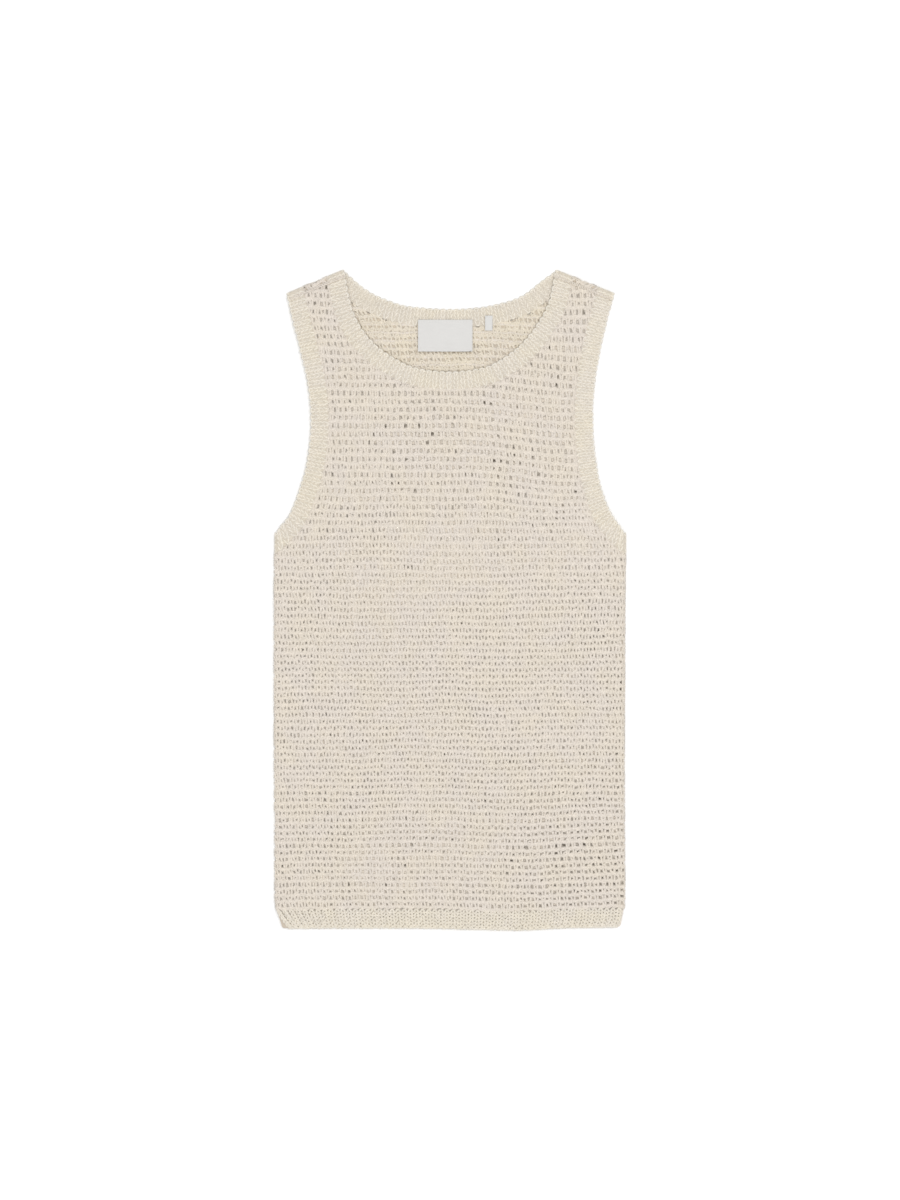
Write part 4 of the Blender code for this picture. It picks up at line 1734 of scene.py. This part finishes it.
@dataclass
class Label:
    """A bare tape label, sewn on at its top edge, with rounded edges and its lower part curling up."""
    node: str
    tape: bpy.types.Material
    thread: bpy.types.Material
    cells: tuple[int, int] = (26, 18)
    curl: float = 0.0014
    rounding: float = LABEL_THICKNESS * 0.32
    stitch_drop: float = 0.0022
    stitch_pitch: float = 0.0026
    stitch_share: float = 0.36
    stitch_radius: float = 0.00022
    side_gap: float = 0.0018

    def build(self) -> list[bpy.types.Object]:
        """Make the label from its solid.

        Returns:
            The tape and its sewing.
        """
        low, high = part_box(self.node)
        work = solid_copy(self.node)
        bmesh.ops.recalc_face_normals(work, faces=work.faces)
        middle_x = (low[0] + high[0]) / 2
        for axis, (cells, normal) in enumerate(zip(self.cells, (Vector((1, 0, 0)), Vector((0, 1, 0))))):
            for step in range(1, cells):
                place = low[axis] + (high[axis] - low[axis]) * step / cells
                geometry = [*work.verts, *work.edges, *work.faces]
                bmesh.ops.bisect_plane(work, geom=geometry, plane_co=normal * place, plane_no=normal)
        sharp = [edge for edge in work.edges if edge.calc_face_angle(0.0) > math.radians(60)]
        bmesh.ops.bevel(work, geom=sharp, offset=self.rounding, offset_type="OFFSET", segments=2,
                        profile=0.5, affect="EDGES", material=-1)
        for vertex in work.verts:
            from_top = (high[1] - vertex.co.y) / (high[1] - low[1])
            aside = abs(vertex.co.x - middle_x) / (high[0] - middle_x)
            vertex.co.z += self.curl * from_top ** 2 * (0.5 + 0.5 * aside ** 3)
        mesh = finished_mesh(work, self.node + "_tape")
        mesh.shade_smooth()
        piece = cloth_object(mesh, self.tape)
        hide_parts(self.node)
        return [piece, self.sewing(low, high)]

    def sewing(self, low: Sequence[float], high: Sequence[float]) -> bpy.types.Object:
        """Sew a row of short stitches under the top edge.

        Args:
            low: the low corner of the label's box.
            high: its high corner.

        Returns:
            The stitches.
        """
        count = max(2, int((high[0] - low[0] - 0.002) / self.stitch_pitch))
        share = np.linspace(-1.0, 1.0, 5)
        y = np.full(len(share), high[1] - self.stitch_drop)
        z = self.top_height(high) - 0.0001 + self.stitch_radius * (1.0 - share ** 2)
        strands = []
        for place in np.linspace(low[0] + self.side_gap, high[0] - self.side_gap, count):
            x = place + share * self.stitch_pitch * self.stitch_share
            strands.append(Strand(np.column_stack([x, y, z]), np.ones(len(share))))
        made = yarn_piece(self.node + "_sewing", strands, self.stitch_radius, self.thread)
        return made

    def top_height(self, high: Sequence[float]) -> float:
        """The tape's upper face beside its top edge."""
        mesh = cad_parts[self.node].data
        return max(vertex.co.z for vertex in mesh.vertices if vertex.co.y > high[1] - 0.001)


@dataclass(frozen=True)
class Lamp:
    """A square soft light that looks at the garment."""
    name: str
    place: tuple[float, float, float]
    size: float
    power: float

    def build(self) -> None:
        """Hang the light in its place."""
        data = bpy.data.lights.new(self.name, "AREA")
        data.size = self.size
        data.energy = self.power
        lamp = bpy.data.objects.new(self.name, data)
        lamp.location = self.place
        lamp.rotation_euler = Vector(self.place).to_track_quat("Z", "Y").to_euler()
        bpy.context.scene.collection.objects.link(lamp)


@dataclass
class Studio:
    """The floor, lights and camera of the picture."""
    camera_height: float = 2.72
    lens: float = 85.0
    sensor: float = 36.0
    floor_size: float = 4.0
    floor_height: float = -0.0005
    floor_colour: Colour = (0.95, 0.95, 0.95)
    floor_roughness: float = 0.9
    sky_colour: Colour = (1.0, 1.0, 1.0)
    sky_strength: float = 0.72
    lamps: Sequence[Lamp] = (
        Lamp("key", (0.9, 0.7, 3.0), 1.8, 38.0),
        Lamp("fill", (-0.8, -1.2, 3.0), 2.2, 30.0),
    )

    def build(self) -> None:
        """Build it all, in the way that the picture shows colours."""
        bpy.context.scene.view_settings.view_transform = "Standard"
        self.floor()
        self.sky()
        for lamp in self.lamps:
            lamp.build()
        self.camera()

    def floor(self) -> None:
        """The plain ground under the garment."""
        work = bmesh.new()
        bmesh.ops.create_grid(work, x_segments=1, y_segments=1, size=self.floor_size)
        mesh = finished_mesh(work, "floor")
        paint = bpy.data.materials.new("floor_paint")
        paint.use_nodes = True
        surface = paint.node_tree.nodes["Principled BSDF"]
        surface.inputs["Base Color"].default_value = (*self.floor_colour, 1.0)
        surface.inputs["Roughness"].default_value = self.floor_roughness
        mesh.materials.append(paint)
        floor = bpy.data.objects.new("floor", mesh)
        floor.location.z = self.floor_height
        bpy.context.scene.collection.objects.link(floor)

    def sky(self) -> None:
        """The even light from all round."""
        world = bpy.data.worlds.new("studio")
        world.use_nodes = True
        background = world.node_tree.nodes["Background"]
        background.inputs["Color"].default_value = (*self.sky_colour, 1.0)
        background.inputs["Strength"].default_value = self.sky_strength
        bpy.context.scene.world = world

    def camera(self) -> None:
        """The camera, straight above the garment."""
        data = bpy.data.cameras.new("camera")
        data.lens = self.lens
        data.sensor_width = self.sensor
        data.sensor_fit = "AUTO"
        camera = bpy.data.objects.new("camera", data)
        camera.location = (0.0, 0.0, self.camera_height)
        bpy.context.scene.collection.objects.link(camera)
        bpy.context.scene.camera = camera


class Finishes:
    """The garment's materials, by where they show."""

    def __init__(self) -> None:
        """Make the materials."""
        grain = YarnGrain().group()
        weave = TapeWeave().group()
        self.yarn = ClothFinish("cream_yarn", (0.700, 0.640, 0.572)).make(grain)
        self.inside_yarn = ClothFinish("inside_yarn", (0.715, 0.650, 0.550)).make(grain)
        self.rib_yarn = ClothFinish("rib_yarn", (0.765, 0.718, 0.640)).make(grain)
        self.hem_yarn = ClothFinish("hem_yarn", (0.735, 0.685, 0.605)).make(grain)
        # Painted shade: the bands' shell between the rib columns, a darker copy of the rib yarn
        self.rib_shadow = ClothFinish("rib_shadow", (0.615, 0.560, 0.480)).make(grain)
        # Painted shade: the front panel's ground, a darker copy of the yarn's colour that shows through the
        # knit's holes, with painted dark shadow in places
        self.yarn_shadow = ClothFinish("yarn_shadow", (0.61, 0.55, 0.47)).make(HoleShade().group())
        # Painted shade: the back panel's ground, a darker copy of the inside yarn, that shows between the
        # loops
        self.inside_shadow = ClothFinish("inside_shadow", (0.56, 0.49, 0.40)).make(grain)
        tape = ClothFinish("label_weave", (0.650, 0.640, 0.622), relief=0.00012, sheen=0.05)
        self.tape = tape.make(weave)
        self.thread = ClothFinish("label_thread", (0.74, 0.73, 0.71), relief=0.00005).make(weave)


@dataclass
class Garment:
    """The knit top: its panels with their seams, its labels and its bands."""
    outline: Outline
    finishes: Finishes
    seam_height: float = MID_HEIGHT + TURN_REACH - 0.0004
    shoulder_seam_rise: float = 0.0004
    front_sections: Sequence[Section] = (
        Section("front_knit_low", 0.0, 0.19),
        Section("front_knit_middle", 0.19, 0.37),
        Section("front_knit_high", 0.37, 0.64),
    )
    back_sections: Sequence[Section] = (
        Section("back_knit_low", 0.0, 0.30),
        Section("back_knit_high", 0.30, 0.595),
    )
    shoulder_section: Section = Section("shoulder_knit", 0.595, 0.660)
    inside_section: Section = Section("back_knit_inside", 0.515, 0.600)

    def __post_init__(self) -> None:
        """Lay out the outer faces of the two panels."""
        grid = KnitGrid()
        self.front_lay = PanelLay(Face.FRONT, self.outline, grid)
        self.back_lay = PanelLay(Face.BACK, self.outline, grid)

    def build(self) -> None:
        """Build the garment, from the panels to the bands."""
        front_knit = self.front_knit()
        back_knit = self.back_knit()
        hem_yarn = self.finishes.hem_yarn
        front_knit.append(HemRib(self.front_lay, hem_yarn, "front_hem_ribs", RIB_HEIGHT).build())
        back_knit.append(HemRib(self.back_lay, hem_yarn, "back_hem_ribs", 0.0).build())
        front, back = self.grounds()
        front_knit += self.seams()
        self.bands(self.labels())

    def front_knit(self) -> list[bpy.types.Object]:
        """The front panel's knit."""
        return PanelKnit(self.front_lay, self.finishes.yarn, self.front_sections).build()

    def back_knit(self) -> list[bpy.types.Object]:
        """Knit the back panel: its outside, the turn over the shoulders and the inside that shows.

        Returns:
            The pieces.
        """
        yarn = self.finishes.yarn
        inside_lay = PanelLay(Face.INSIDE, self.outline, KnitGrid(INSIDE_ROW_PITCHES))
        outside = PanelKnit(
            self.back_lay, yarn, self.back_sections,
            loop=LoopShape(points=6), yarn_radius=0.0014, flatness=0.5)
        shoulders = PanelKnit(self.back_lay, yarn, (self.shoulder_section,))
        inside = PanelKnit(
            inside_lay, self.finishes.inside_yarn, (self.inside_section,),
            loop=LoopShape(lean=0.44, lean_spread=0.10, neck=0.02),
            filling_radius=0.00185, wale_scale=1.28, half_width=0.105)
        return [piece for knit in (outside, shoulders, inside) for piece in knit.build()]

    def grounds(self) -> tuple[bpy.types.Object, bpy.types.Object]:
        """Make the shells behind the panels' yarn.

        Returns:
            The front panel's and the back panel's.
        """
        finishes = self.finishes
        # The front shell's colour is painted shade, darker than the yarn, and shows between the loops
        front = Ground("front_panel", finishes.yarn_shadow, 0.0013, 0.0001, FRONT_RIPPLES, cuts=2)
        # The back shell's colour is painted shade, darker than the yarn, and shows between the loops
        back = Ground("back_panel", finishes.inside_shadow, 0.0010, 0.0009, BACK_RIPPLES, cuts=2)
        return front.build(), back.build()

    def seams(self) -> list[bpy.types.Object]:
        """Sew the bands' seams and the shoulders' on the front.

        Returns:
            The two pieces.
        """
        yarn = self.finishes.yarn
        strips = self.outline.strips
        sewn = (strips["front_neck"], strips[("armhole", -1)], strips[("armhole", 1)])
        band_seams = SeamChain("band_seams", yarn).build([(strip.seam, self.seam_height) for strip in sewn])
        lines = []
        for fold in self.outline.shoulders.values():
            drop = fold.outward * (SHOULDER_SEAM_DROP - TURN_REACH)
            line = np.array([fold.start, fold.end]) - drop
            lines.append((line, self.seam_height + self.shoulder_seam_rise))
        chain = SeamChain("shoulder_seams", yarn, radius=0.00095, pitch=0.0052, swing=0.0010)
        return [band_seams, chain.build(lines)]

    def labels(self) -> list[bpy.types.Object]:
        """Sew the labels in.


        Returns:
            The size tab's pieces.
        """
        tape = self.finishes.tape
        thread = self.finishes.thread
        main_label, main_sewing = Label("main_label", tape, thread).build()
        return Label("size_label", tape, thread, cells=(5, 8), curl=0.0002, stitch_pitch=0.0018).build()

    def bands(self, size_label: Sequence[bpy.types.Object]) -> None:
        """Make the neckband and the armhole bands.

        Args:
            size_label: the size tab's pieces, which are sewn to the neckband. Not used.
        """
        yarn = self.finishes.rib_yarn
        shadow = self.finishes.rib_shadow
        strips = self.outline.strips
        shoulders = self.outline.shoulders
        underarms = self.outline.underarms
        left = strips[("armhole", -1)]
        right = strips[("armhole", 1)]
        neck_lay = BandLay(strips["front_neck"], strips["back_neck"], shoulders[-1], shoulders[1])
        left_lay = BandLay(left, left, underarms[-1], shoulders[-1])
        right_lay = BandLay(right, right, shoulders[1], underarms[1])
        neckband = RibbedBand(
            "neckband", neck_lay, NECK_RIB_PITCH, yarn, shadow, inside_ribs=True, trims=size_label)
        neckband.build()
        RibbedBand("armhole_band_left", left_lay, LEFT_ARMHOLE_RIB_PITCH, yarn, shadow).build()
        RibbedBand("armhole_band_right", right_lay, RIGHT_ARMHOLE_RIB_PITCH, yarn, shadow).build()


def main() -> None:
    """Build and dress the garment, and light it."""
    logging.basicConfig(level=logging.INFO, format="%(message)s")
    Garment(Outline(), Finishes()).build()
    Studio().build()


if __name__ == "__main__":
    main()
